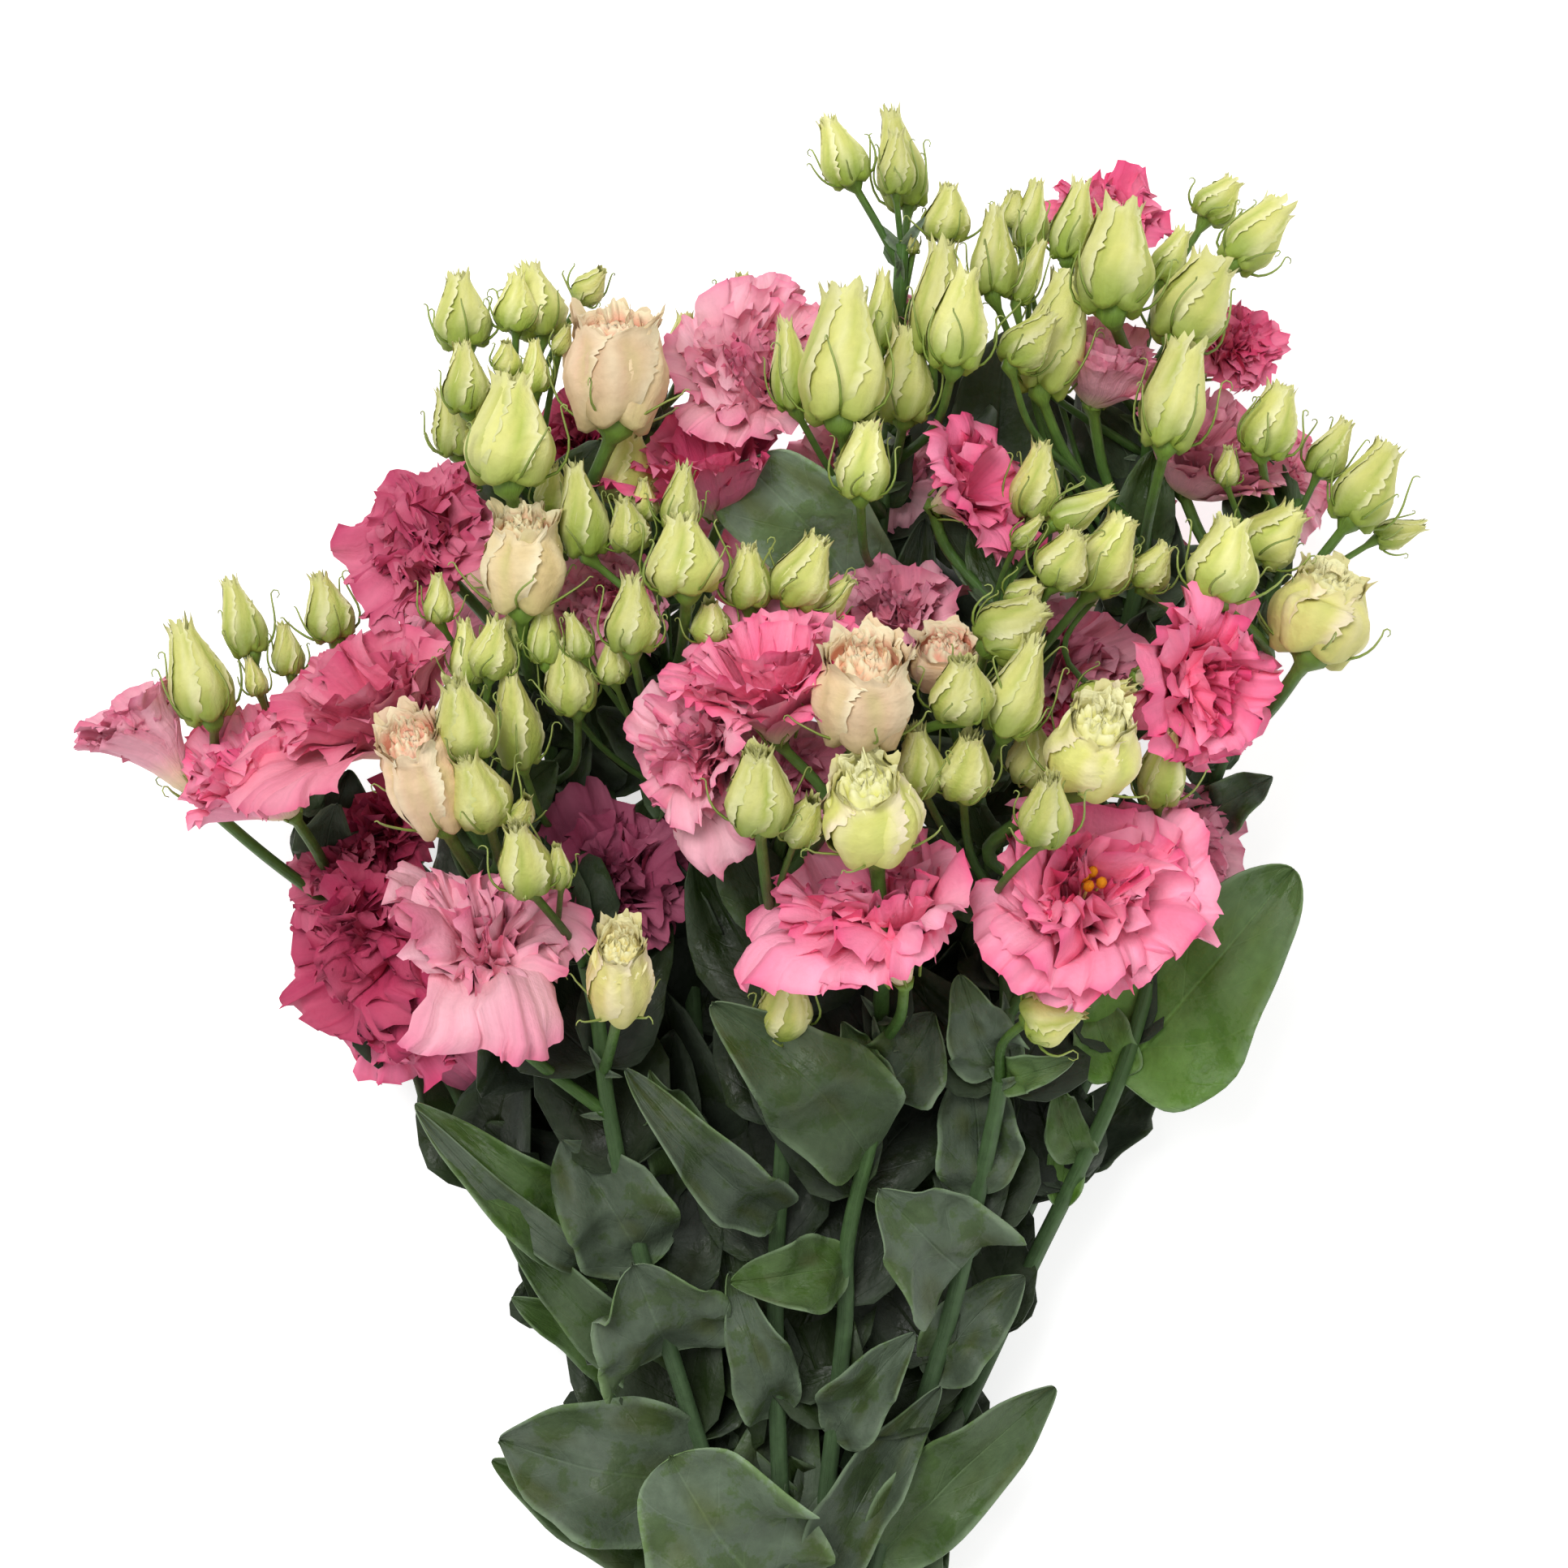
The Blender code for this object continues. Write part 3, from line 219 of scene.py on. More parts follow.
# Blooms: name, stem, middle of the mouth u, v, depth in mm, azimuth and lean of the axis in degrees,
# diameter in pixels, layers of petals, tone, and traits of some: how many whorls, columns of a petal,
# how far the petals spread, share of a bowl's curve, length and crumple of the petals, and azimuths and
# shares of those that hang, or that hang less than the others where the share is below zero
BLOOMS = (
    ("far_left_outer", "far_left", 180, 902, 8, 126, 76, 190, 3, "dusty",
     dict(whorls=3, spread=0.4, bowl=0.2, longer=1.16, crumple=0.4)),
    ("far_left_inner", "far_left", 305, 925, 10, 124, 66, 215, 3, "pink",
     dict(spread=0.7, bowl=0.7, crumple=0.5)),
    ("left_upper", "left", 448, 852, 8, 125, 56, 245, 3, "rose",
     dict(whorls=3, bowl=0.3, longer=1.08, crumple=0.5, hangs=((258, 0.5), (320, -0.8)))),
    ("left_top", "upper_left_low", 513, 657, 14, 125, 30, 215, 3, "mauve", dict(crumple=1.3)),
    ("left_dark", "left_low", 425, 1160, 36, 190, 55, 235, 3, "dark",
     dict(crumple=1.2, hangs=((235, 0.35),))),
    ("left_front", "left_front", 602, 1125, -2, 75, 48, 240, 3, "pale",
     dict(crumple=0.9, hangs=((268, 0.95),))),
    ("left_lowest", "left_low", 480, 1270, 44, 235, 62, 200, 2, "deep", dict(hangs=((262, 0.7),))),
    ("left_behind", "far_left", 462, 1030, 58, 150, 45, 165, 2, "dark"),
    ("shade_left", "upper_left_low", 748, 1068, 48, 95, 38, 245, 3, "shade", dict(crumple=0.6)),
    ("front_left", "front_centre", 1078, 1100, 0, 108, 62, 268, 3, "pink", dict(hangs=((250, 0.4),))),
    ("front_right", "front_right", 1345, 1085, -4, 70, 26, 300, 3, "pink", dict(hangs=((300, 0.1),))),
    ("behind_right", "right", 1480, 1030, 42, 15, 50, 150, 2, "dusty", dict(bowl=0.5)),
    ("right", "right", 1500, 845, 2, -8, 48, 255, 3, "hot", dict(crumple=0.55, hangs=((150, 0.3),))),
    ("upper_middle", "centre_left", 925, 435, 20, 110, 36, 215, 3, "pale"),
    ("upper_middle_low", "centre_left", 866, 556, 28, 105, 60, 200, 2, "deep",
     dict(whorls=3, spread=0.8, bowl=0.5, crumple=0.4, hangs=((265, 0.5),))),
    ("upper_left_dark", "upper_left", 713, 535, 66, 100, 30, 130, 2, "dark"),
    ("mid_left", "centre_left", 742, 735, 34, 120, 35, 170, 2, "pale"),
    ("middle", "centre", 950, 805, 0, 95, 58, 255, 3, "pink", dict(whorls=3, bowl=0.3, crumple=0.2)),
    ("middle_left", "centre", 848, 915, 2, 170, 36, 200, 3, "pale", dict(hangs=((285, 0.6),))),
    ("middle_low", "centre", 990, 940, 26, 70, 45, 165, 2, "dusty"),
    ("mid_right", "mid_right", 1110, 740, 36, 90, 50, 165, 2, "dusty"),
    ("right_behind", "right", 1335, 805, 50, 60, 45, 200, 2, "dusty"),
    ("upper_right_hot", "mid_right", 1225, 590, 12, 25, 58, 195, 3, "deep", dict(whorls=2, crumple=0.6)),
    ("upper_behind", "top", 1073, 560, 58, 90, 40, 190, 2, "pale"),
    ("cup_right", "upper_right", 1370, 430, 22, 72, 70, 160, 3, "dusty",
     dict(whorls=3, bowl=0.8, crumple=0.3)),
    ("top_right", "upper_right", 1365, 255, 36, 90, 60, 180, 2, "deep"),
    ("upper_right_edge", "upper_right", 1530, 425, 30, 30, 50, 160, 2, "deep", dict(spread=0.65)),
    ("cup_far_right", "far_right", 1500, 535, 24, 60, 58, 195, 3, "dusty", dict(bowl=0.9, crumple=0.4)),
    ("far_right_behind", "far_right", 1590, 580, 50, 20, 50, 150, 2, "pale"),
    ("under_left", "left_low", 560, 700, 113.5, 160, 140, 260, 2, "pink", dict(columns=25)),
    ("under_right", "upper_right", 1390, 700, 111.5, 20, 140, 260, 2, "pale", dict(columns=25)),
    ("under_middle", "top", 950, 640, 127, 100, 145, 250, 2, "pink", dict(columns=25)),
)

# Small blooms deep between the others, which the solids leave out, in the same form
DEEP_BLOOMS = (
    ("small_top", "top", 1116, 385, 30, 90, 50, 115, 2, "dusty"),
    ("right_low", "right", 1310, 885, 44, 80, 50, 150, 2, "pink"),
    ("left_between", "left_low", 408, 1062, 54, 140, 50, 150, 2, "mauve"),
)

# The bloom that shows its stamens
OPEN_CENTRE = "front_right"

# Leaves by stem: v of the root, tip u, v, width in pixels, depth of the tip in mm, and cup and bend
# where they aren't the usual ones
LEAVES = {
    "right": [
        (1335, 1594, 1072, 196, 30, 0.10, 0.05), (1335, 1340, 1215, 80, 48), (1440, 1300, 1330, 60, 34),
        (1500, 1345, 1350, 50, 46, 0.3, 0.1)],
    "front_centre": [
        (1350, 1150, 1250, 108, 26, 0.15, 0.1), (1430, 880, 1238, 150, 8, 0.2, 0.15),
        (1570, 905, 1580, 96, 4, 0.15, 0.2), (1790, 1128, 1640, 84, 8, 0.3, 0.2),
        (1355, 1037, 1258, 62, 26, 0.3, 0.1), (1990, 1160, 1705, 92, 12, 0.3, 0.1)],
    "front_right": [
        (1323, 1185, 1205, 98, 16, 0.15, 0.1), (1480, 1190, 1300, 110, 36, 0.25, 0.15),
        (1330, 1325, 1305, 50, 2, 0.4, 0.2), (1575, 1085, 1468, 160, 6, 0.2, 0.2),
        (1720, 1262, 1572, 92, 14), (1960, 1300, 1712, 120, 10, 0.25, 0.15)],
    "mid_right": [
        (1480, 1140, 1385, 72, 40), (1800, 1205, 1700, 60, 30), (860, 1190, 660, 130, 64),
        (980, 1180, 790, 120, 70), (760, 1240, 440, 150, 74)],
    "centre": [
        (1500, 775, 1322, 92, 6, 0.3, 0.25), (1764, 900, 1571, 84, 10, 0.25, 0.15),
        (2000, 820, 1785, 220, -2, 0.12, 0.2)],
    "left_front": [
        (1575, 690, 1400, 150, 18, 0.15, 0.15), (1680, 780, 1560, 180, -2, 0.12, 0.2),
        (1850, 615, 1775, 190, 2, 0.15, 0.2)],
    "left": [
        (1590, 514, 1363, 104, 22, 0.3, 0.2), (1596, 507, 1361, 46, 17, 0.2, 0.2),
        (1735, 624, 1516, 84, 12, 0.2, 0.15), (1960, 606, 1800, 120, 14, 0.2, 0.15),
        (1190, 545, 1020, 120, 66), (1120, 640, 930, 120, 74)],
    "left_low": [(1640, 560, 1430, 90, 52), (1760, 632, 1600, 92, 30)],
    "centre_left": [(1700, 885, 1500, 104, 30), (1480, 800, 1318, 104, 24), (1100, 905, 980, 90, 55)],
    "top": [
        (780, 925, 582, 150, 24, 0.1, 0.1), (900, 1140, 640, 110, 44), (820, 1150, 615, 130, 74),
        (660, 1185, 430, 130, 78), (1500, 960, 1330, 100, 92)],
    "upper_right": [
        (820, 1440, 620, 90, 56), (1400, 1300, 1230, 110, 100), (720, 1300, 490, 130, 76),
        (640, 1350, 440, 110, 70)],
    "far_right": [(1020, 1570, 955, 70, 40), (1450, 1420, 1330, 90, 84)],
    "upper_left": [(1300, 760, 1130, 100, 108)],
    "far_left": [(1400, 520, 1230, 90, 70), (1160, 490, 985, 130, 76), (1100, 430, 950, 110, 70)],
}
USUAL_FORM = (0.2, 0.1)

# Leaves with traits of their own: stem, v of the root. Two of the traits paint light: a share of bright green
# as though light shone through the leaf, and a multiplier on the tint that is painted light above one and
# painted shade below one
LEAF_TRAITS = {
    ("right", 1335): dict(painted_backlight=0.9, painted_light_and_shade=1.1, relief=0.5, shape=(0.2, 0.6)),
    ("right", 1500): dict(painted_backlight=0.9),
    ("left", 1590): dict(painted_backlight=0.65),
    ("left_low", 1760): dict(painted_backlight=0.8),
    ("mid_right", 1800): dict(painted_backlight=0.3),
    ("front_right", 1330): dict(painted_backlight=0.5),
    ("front_right", 1575): dict(shape=(0.3, 0.6)),
    ("front_right", 1960): dict(painted_backlight=0.12),
    ("centre", 2000): dict(painted_light_and_shade=1.45, shape=(0.35, 0.45), freshness=0.0),
    ("left_front", 1680): dict(painted_light_and_shade=1.1, shape=(0.3, 0.5)),
    ("top", 780): dict(painted_light_and_shade=1.85, relief=0.3, shape=(0.5, 0.22), freshness=0.0),
}


def srgb(*channels):
    """Linear colour from one on the usual scale to 255, for channels above 10."""
    return ((np.array(channels) / 255 + 0.055) / 1.055) ** 2.4


# Tones
LIME = srgb(214, 213, 122)
LIME_LIGHT = srgb(240, 237, 184)
LIME_BASE = srgb(126, 154, 50)
# Painted shade: the darker green of a bud petal's side tucked under its neighbour and of its creases
LIME_PAINTED_SHADE = srgb(160, 180, 64)
CREAM = srgb(240, 226, 190)
PEACH = srgb(224, 188, 162)
PEACH_DEEP = srgb(236, 166, 140)
THROAT = srgb(240, 222, 180)
SEPAL = srgb(174, 190, 106)
STEM_LOW = srgb(70, 92, 62)
STEM_HIGH = srgb(72, 106, 46)
LEAF_WAX = srgb(82, 95, 77)
LEAF_FRESH = srgb(70, 94, 44)
LEAF_RUBBED = srgb(68, 78, 42)
LEAF_VEIN = srgb(132, 154, 120)
# Painted light: the bright green of a leaf with light shining through it
LEAF_PAINTED_BACKLIGHT = srgb(100, 140, 52)
STAMEN = srgb(238, 160, 20)
PETAL_LIGHT = srgb(250, 196, 212)
BAND_TONE = srgb(196, 178, 148)

# Bloom tones: outer petals, inner petals, margins, and the share of light pink along the margins. The inner
# tones are deeper partly as the flower's own colour and partly as painted shade within the bloom
TONES = {
    "pink": ((254, 162, 190), (250, 116, 160), (240, 86, 138), 0.6),
    "hot": ((252, 136, 172), (248, 96, 146), (236, 72, 128), 0.5),
    "pale": ((234, 178, 188), (236, 140, 166), (230, 112, 150), 0.7),
    "dusty": ((234, 170, 184), (224, 130, 156), (220, 116, 148), 0.6),
    "deep": ((238, 124, 162), (228, 76, 126), (222, 66, 118), 0.4),
    "rose": ((230, 138, 158), (220, 98, 132), (212, 80, 120), 0.5),
    "mauve": ((208, 100, 130), (190, 56, 96), (186, 60, 100), 0.3),
    # "dark" is partly a real deep crimson and mostly painted shade for blooms deep in the bunch
    "dark": ((188, 58, 98), (150, 16, 60), (168, 36, 82), 0.15),
    # "shade" is painted shade for blooms that lie in shadow deep in the bunch
    "shade": ((160, 74, 104), (136, 40, 76), (144, 52, 84), 0.1),
}

# How far the larger closed buds of some stems have loosened at the tip, and of the other stems
LOOSENED = {"upper_right": 0.42, "far_right": 0.32, "mid_right": 0.32, "centre": 0.3, "top": 0.25}
TIGHT = 0.12

# Pedicels that dip among the petals they pass: stem, whole v of the tip of what they carry, mm
SUNK = {("front_centre", 936): 16, ("upper_right", 253): 22}

# Opening buds that stand higher than in the solids, clear of the petals beside them: mm
LIFTED = {"left": 4}

# Outline of the bunch that the leaf pairs keep within: v, left and right u
OUTLINE = (
    (300, 1010, 1350), (450, 580, 1480), (650, 450, 1600), (850, 400, 1540), (1050, 350, 1480),
    (1200, 400, 1400), (1360, 520, 1325), (1460, 545, 1290), (1560, 600, 1268), (1700, 650, 1240),
    (1800, 620, 1230), (1932, 625, 1225), (2150, 800, 1180),
)

# Leaf pairs: the rows they fill, and the rows between which they change from those of the head to those of
# the lower stems: steps in rows, lengths and depths in mm. Then where they lie deepest, how deep, and the
# painted shade that darkens all pairs, and those that lie deepest more
PAIRS_FROM, PAIRS_TO = 560, 2120
FIRST_PAIR = 20
LOW_FROM, LOW_TO = 1050, 1350
HEAD_PAIRS, LOW_PAIRS = np.array((74, 27, 34)), np.array((165, 53, 24))
DEEP_FROM, DEEP_TO = 1160, 1960
DEEPEST = 50
PAIR_PAINTED_SHADE, DEEP_PAIR_PAINTED_SHADE = 0.6, 0.26
# Other leaves whose tip lies deeper than this in mm, and the painted shade that darkens them
SHADED_FROM, DEEP_LEAF_PAINTED_SHADE = 40, 0.45
FLOOR_GAP = 0.6 * MM


def unit(vector):
    return vector / np.linalg.norm(vector)


def place(u, v, height):
    """Metres from a place seen from above and its height, before the shift to the frame's origin."""
    spread = PIXEL * (VIEW_HEIGHT - height) / (VIEW_HEIGHT - REFERENCE_HEIGHT)
    return np.array(((u - MIDDLE) * spread, (MIDDLE - v) * spread, height))


def row_of(point):
    return MIDDLE - point[1] / PIXEL


def surface_height(u, v):
    """Height in metres of the bunch's upper surface."""
    rows, heights, widths = zip(*SPINE)
    height = float(np.interp(v, rows, heights))
    across = min(1.1, abs(u - MIDDLE_U) / float(np.interp(v, rows, widths)))
    return MM * height * (1 - EDGE_DROP * across * across)


def at(u, v, depth):
    return place(u, v, surface_height(u, v) - depth * MM)


def axis_vector(azimuth, lean):
    """A unit vector that leans from +Z towards the azimuth."""
    azimuth, lean = math.radians(azimuth), math.radians(lean)
    return np.array((math.sin(lean) * math.cos(azimuth), math.sin(lean) * math.sin(azimuth), math.cos(lean)))


def smooth_path(points, spans):
    """Points of a smooth curve through the given points, with some steps in each span."""
    ends = [2 * points[0] - points[1]] + list(points) + [2 * points[-1] - points[-2]]
    path = []
    for i in range(len(points) - 1):
        a, b, c, d = ends[i:i + 4]
        for t in np.arange(spans) / spans:
            path.append(0.5 * (2 * b + (c - a) * t + (2 * a - 5 * b + 4 * c - d) * t * t
                               + (3 * b - a - 3 * c + d) * t ** 3))
    return path + [points[-1]]


def arc(start, start_direction, end, end_direction, steps):
    """Points of a cubic that leaves and arrives along the given directions."""
    reach = np.linalg.norm(end - start) * ARC_REACH
    a, b = start + start_direction * reach, end - end_direction * reach
    return [start * (1 - t) ** 3 + a * 3 * t * (1 - t) ** 2 + b * 3 * t * t * (1 - t) + end * t ** 3
            for t in np.arange(steps + 1) / steps]


def slot(row, column):
    """A stem's place in the tie: how far across, and its height."""
    return column * STEM_PITCH, BAND_THICKNESS + GAP + STEM_RADIUS + row * STEM_PITCH * math.sin(math.pi / 3)


def stem_axis(name):
    row, column, route = STEMS[name]
    across, height = slot(row, column)
    end = place(TIE_U, CUT_END_V, 0) + (across * TAIL_SPLAY, 0, height)
    tie_place = place(TIE_U, TIE_V, 0) + (across, 0, height)
    straight = [end] + [tie_place + (0, widths * BAND_WIDTH, 0) for widths in (-3, 1)]
    return straight + [at(*step) for step in route]


def point_at_row(axis, v):
    """The place on a stem's axis that lies at v, and its direction there."""
    for a, b in zip(axis, axis[1:]):
        if row_of(b) <= v <= row_of(a):
            share = (row_of(a) - v) / (row_of(a) - row_of(b))
            return a + (b - a) * share, unit(b - a)
    end = axis[-1] if v < row_of(axis[-1]) else axis[0]
    return end.copy(), unit(axis[-1] - axis[-2])


def pedicel_root(axis, base, taken):
    """A pedicel leaves its stem below what it holds, the wider it reaches the further below."""
    lowest = row_of(base) + ROOT_BELOW
    near, _ = point_at_row(axis, lowest)
    row = max(lowest + ROOT_SPREAD * abs(base[0] - near[0]) / PIXEL, row_of(axis[-1]) + ROOT_UNDER_TOP)
    while any(abs(row - other) < ROOT_STEP for other in taken):
        row += ROOT_SHIFT
    taken.append(row)
    root, along = point_at_row(axis, row)
    return root, unit(along * 0.5 + unit(base - root))


def segment_gap(path, others):
    """Least distance between a path and the segments of other paths, less their radii."""
    places = np.array([a + (b - a) * k / 4 for a, b in zip(path, path[1:]) for k in range(5)])[:, None]
    start, end, radius = (np.array([other[part] for other in others]) for part in range(3))
    along = end - start
    t = np.einsum("pij,ij->pi", places - start, along) / np.maximum((along ** 2).sum(1), 1e-12)
    nearest = start + along * np.clip(t, 0, 1)[..., None]
    return float((np.linalg.norm(places - nearest, axis=2) - radius).min())


def bent_clear(path, radius, others):
    """The path, bowed sideways or in depth as little as keeps it off the other stems."""
    best, best_gap = path, -1.0
    for bow in BOWS:
        for turn in range(8 if bow else 1):
            angle = math.pi * turn / 4 - math.pi / 2
            offset = np.array((math.cos(angle), 0, math.sin(angle))) * bow * MM
            bowed = [p + offset * math.sin(math.pi * i / (len(path) - 1)) for i, p in enumerate(path)]
            gap = segment_gap(bowed[1:] if bow else bowed, others) - radius
            if gap > PEDICEL_APART:
                return bowed
            if gap > best_gap:
                best, best_gap = bowed, gap
    return best


class Head:
    """A bud, an opening bud or a bloom: where it stands, how large it is and what carries it."""

    def __init__(self, kind, name, stem, base, tip, width, **traits):
        self.kind = kind
        self.name = name
        self.stem = stem
        self.base = base
        self.tip = tip
        self.axis = unit(tip - base)
        self.length = float(np.linalg.norm(tip - base))
        self.half = width * PIXEL / 2
        self.trait = traits.get
        self.path = []


def bud_head(kind, name, stem, tip_u, tip_v, base_u, base_v, width, depth, **traits):
    base, tip = at(base_u, base_v, depth + BUD_RISE), at(tip_u, tip_v, depth - BUD_RISE)
    return Head(kind, name, stem, base, tip, width, row=tip_v, **traits)


def closed_buds(table, small):
    return [bud_head("bud", "", stem, *bud, small=small) for stem, buds in table.items() for bud in buds]


def bloom_head(name, stem, u, v, depth, azimuth, lean, diameter, layers, tone, *traits):
    mouth = at(u, v, depth)
    base = mouth - axis_vector(azimuth, lean) * diameter * PIXEL * BLOOM_DEPTH
    return Head("bloom", name, stem, base, mouth, diameter, layers=layers, tone=tone, **dict(*traits))


def route_pedicels(axes, heads, others_later):
    """Gives each head the path of its pedicel, as the solids have it, and then each of the others."""
    segments = {}
    for name, axis in axes.items():
        slim = (STEM_TOP_RADIUS - STEM_RADIUS) / (len(axis) - 1)
        segments[name] = [(a, b, STEM_RADIUS + slim * i) for i, (a, b) in enumerate(zip(axis, axis[1:]))]
    taken = {name: [] for name in STEMS}
    for head in sorted(heads, key=lambda h: -h.base[1]) + others_later:
        start, direction = pedicel_root(axes[head.stem], head.base, taken[head.stem])
        others = [s for name, group in segments.items() if name != head.stem for s in group]
        others += [(h.base, h.tip, CORE_SHARE * h.half) for h in heads if h is not head]
        short = head.kind == "bud" and np.linalg.norm(head.base - start) < SHORT_PEDICEL
        path = arc(start, direction, head.base, head.axis, 1 if short else 2)
        head.path = bent_clear(path, PEDICEL_RADIUS, others)
        segments[head.stem] += [(a, b, PEDICEL_RADIUS * 1.2) for a, b in zip(head.path, head.path[1:])]


def placed(name, data):
    item = bpy.data.objects.new(name, data)
    bpy.context.scene.collection.objects.link(item)
    return item


class Piece:
    """Gathers the surfaces of one piece: points, faces, tints, and where each point lies on its sheet."""

    def __init__(self):
        self.points = []
        self.tints = []
        self.weaves = []
        self.faces = []
        self.count = 0

    def sheet(self, grid, tint, closed=False):
        """A sheet through a grid of points. A closed one joins its last column to its first."""
        rows, columns = grid.shape[:2]
        index = self.count + np.arange(rows * columns).reshape(rows, columns)
        if closed:
            index = np.hstack([index, index[:, :1]])
        quads = np.stack([index[:-1, :-1], index[:-1, 1:], index[1:, 1:], index[1:, :-1]], -1)
        across, along = np.meshgrid(np.linspace(0, 1, columns), np.linspace(0, 1, rows))
        number = np.full_like(across, len(self.faces))
        self.weaves.append(np.stack([across, along, number], -1).reshape(-1, 3))
        self.faces.append(quads.reshape(-1, 4))
        self.points.append(grid.reshape(-1, 3))
        self.tints.append(np.broadcast_to(tint, grid.shape).reshape(-1, 3))
        self.count += rows * columns

    def build(self, name, material, slot, nodes=(), thickness=0.0):
        points = np.concatenate(self.points) + SHIFT
        points[:, 2] = np.maximum(points[:, 2], FLOOR_GAP)
        tints = np.pad(np.clip(np.concatenate(self.tints), 0, 1), ((0, 0), (0, 1)), constant_values=1)
        mesh = bpy.data.meshes.new(name)
        mesh.from_pydata(points, [], np.concatenate(self.faces), shade_flat=False)
        mesh.materials.append(material)
        mesh.validate()
        tint = mesh.color_attributes.new("tint", "FLOAT_COLOR", "POINT")
        tint.data.foreach_set("color", tints.astype(np.float32).ravel())
        weave = mesh.attributes.new("weave", "FLOAT_VECTOR", "POINT")
        weave.data.foreach_set("vector", np.concatenate(self.weaves).astype(np.float32).ravel())
        item = placed(name, mesh)
        if thickness:
            item.modifiers.new("thickness", "SOLIDIFY").thickness = thickness
        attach(item, "root")
        if nodes:
            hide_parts(*nodes)


def basis(axis):
    """Two unit vectors square to the axis, the first as near as can be to straight up."""
    guide = np.array((0.0, 0.0, 1.0)) if abs(axis[2]) < 0.97 else np.array((0.0, 1.0, 0.0))
    first = unit(guide - axis * (guide @ axis))
    return first, np.cross(axis, first)


def fan(pair, angle):
    """Directions at angles between two unit vectors square to each other."""
    return np.cos(angle)[..., None] * pair[0] + np.sin(angle)[..., None] * pair[1]


def around(head, reach, angle, rise):
    """Places round a head's axis: how far out, at which angle and how far along."""
    side, up = basis(head.axis)
    return (head.base + head.axis * rise[..., None]
            + side * (reach * np.cos(angle))[..., None] + up * (reach * np.sin(angle))[..., None])


def tube(piece, path, radii, sides, tint, ridge=0.0):
    """A tube along a path, with its ends drawn in and, where asked, every other corner raised."""
    path = np.array(path)
    tangents = np.gradient(path, axis=0)
    tangents /= np.linalg.norm(tangents, axis=1)[:, None]
    first, _ = basis(tangents[0])
    angles = np.arange(sides) / sides * math.tau
    swell = (1 + ridge * np.cos(np.arange(sides) * math.pi))[:, None]
    rings = []
    for point, tangent, radius in zip(path, tangents, radii):
        first = unit(first - tangent * (first @ tangent))
        rings.append(point + radius * swell * fan((first, np.cross(tangent, first)), angles))
    low_end, high_end = (path[end] + (rings[end] - path[end]) * DRAWN_IN for end in (0, -1))
    tint = np.broadcast_to(tint, (len(path), 3))
    tint = np.concatenate([tint[:1], tint, tint[-1:]])[:, None]
    piece.sheet(np.array([low_end] + rings + [high_end]), tint, closed=True)


def ripples(rng, x, counts, sizes):
    """A sum of waves over x, from 0 to 1, with random phases."""
    total = 0
    for count, size in zip(counts, sizes):
        total = total + size * np.sin(math.tau * count * rng.uniform(0.9, 1.1) * x + rng.uniform(0, math.tau))
    return total


# Waves through a bloom: length and push as shares of its half width
FOLDS = ((1.5, 0.11), (1.1, 0.09), (1.3, 0.09), (0.7, 0.05), (0.55, 0.04), (0.5, 0.035), (0.36, 0.022))


def folds(rng, size):
    """Waves that run through a whole bloom in any direction and push its petals about."""
    waves = []
    for length, push in FOLDS:
        direction, shove = (unit(np.array([rng.gauss(0, 1) for _ in range(3)])) for _ in range(2))
        waves.append((direction * math.tau / (length * size), shove * push * size, rng.uniform(0, math.tau)))
    return waves


def crumpled(grid, waves, weight):
    for run_on, push, phase in waves:
        grid = grid + (weight * np.sin(grid @ run_on + phase))[..., None] * push
    return grid


def mix(a, b, share):
    share = np.clip(share, 0, 1)[..., None]
    return a * (1 - share) + b * share


def ease(low, high, x):
    t = np.clip((x - low) / (high - low), 0, 1)
    return t * t * (3 - 2 * t)


# How wide a closed and an opening bud and a bloom's foot are: share of the length, share of the half width
CLOSED = ((0, 0.4), (0.03, 0.62), (0.09, 0.86), (0.18, 0.99), (0.28, 1.02), (0.4, 0.95), (0.54, 0.77),
          (0.68, 0.6), (0.8, 0.46), (0.9, 0.36), (1.0, 0.38))
OPENING = ((0, 0.3), (0.04, 0.55), (0.1, 0.78), (0.2, 0.96), (0.34, 1.04), (0.5, 1.02), (0.66, 0.94),
           (0.82, 0.85), (0.92, 0.85), (1.0, 0.95))
BLOOM_FOOT = ((0, 0.12), (0.25, 0.2), (0.5, 0.42), (1.0, 0.9))
# Sepals: what they hug, and the least and the largest share of it that they reach
SEPAL_REACH = {
    "bloom": (BLOOM_FOOT, 0.25, 0.4),
    "opening_bud": (OPENING, 0.15, 0.5),
    "bud": (CLOSED, 0.4, 0.85),
}
SEPAL_STEPS = 12
SEPAL_STAND = 8 * MM
THINNEST, THICKEST = 0.24 * MM, 0.42 * MM
HANG = 0.06
CUP = 0.06
MOUTH_TILT, MOUTH_CUT = 0.42, 0.75
WRAP = 5

# Buds: rows and columns of a petal, and from which half width they are filled
BUD_STEPS, SMALL_BUD_STEPS, OPENING_STEPS = (23, 9), (12, 6), (24, 21)
SLIM_BUD, FILLED_BUD, FULL_BUD = 6.5 * MM, 6 * MM, 9 * MM
# Cups within a closed and an opening bud: share of its width, where they begin and end, a petal's steps
TIGHT_CUPS = ((0.6, (0.74, 1.0), (5, 9)), (0.25, (0.8, 1.0), (4, 6)))
INNER_CUPS = ((0.88, (0.6, 0.97)), (0.55, (0.82, 0.92)), (0.3, (0.82, 0.95)))
INNER_STEPS = (6, 17)
FILLING = 0.87


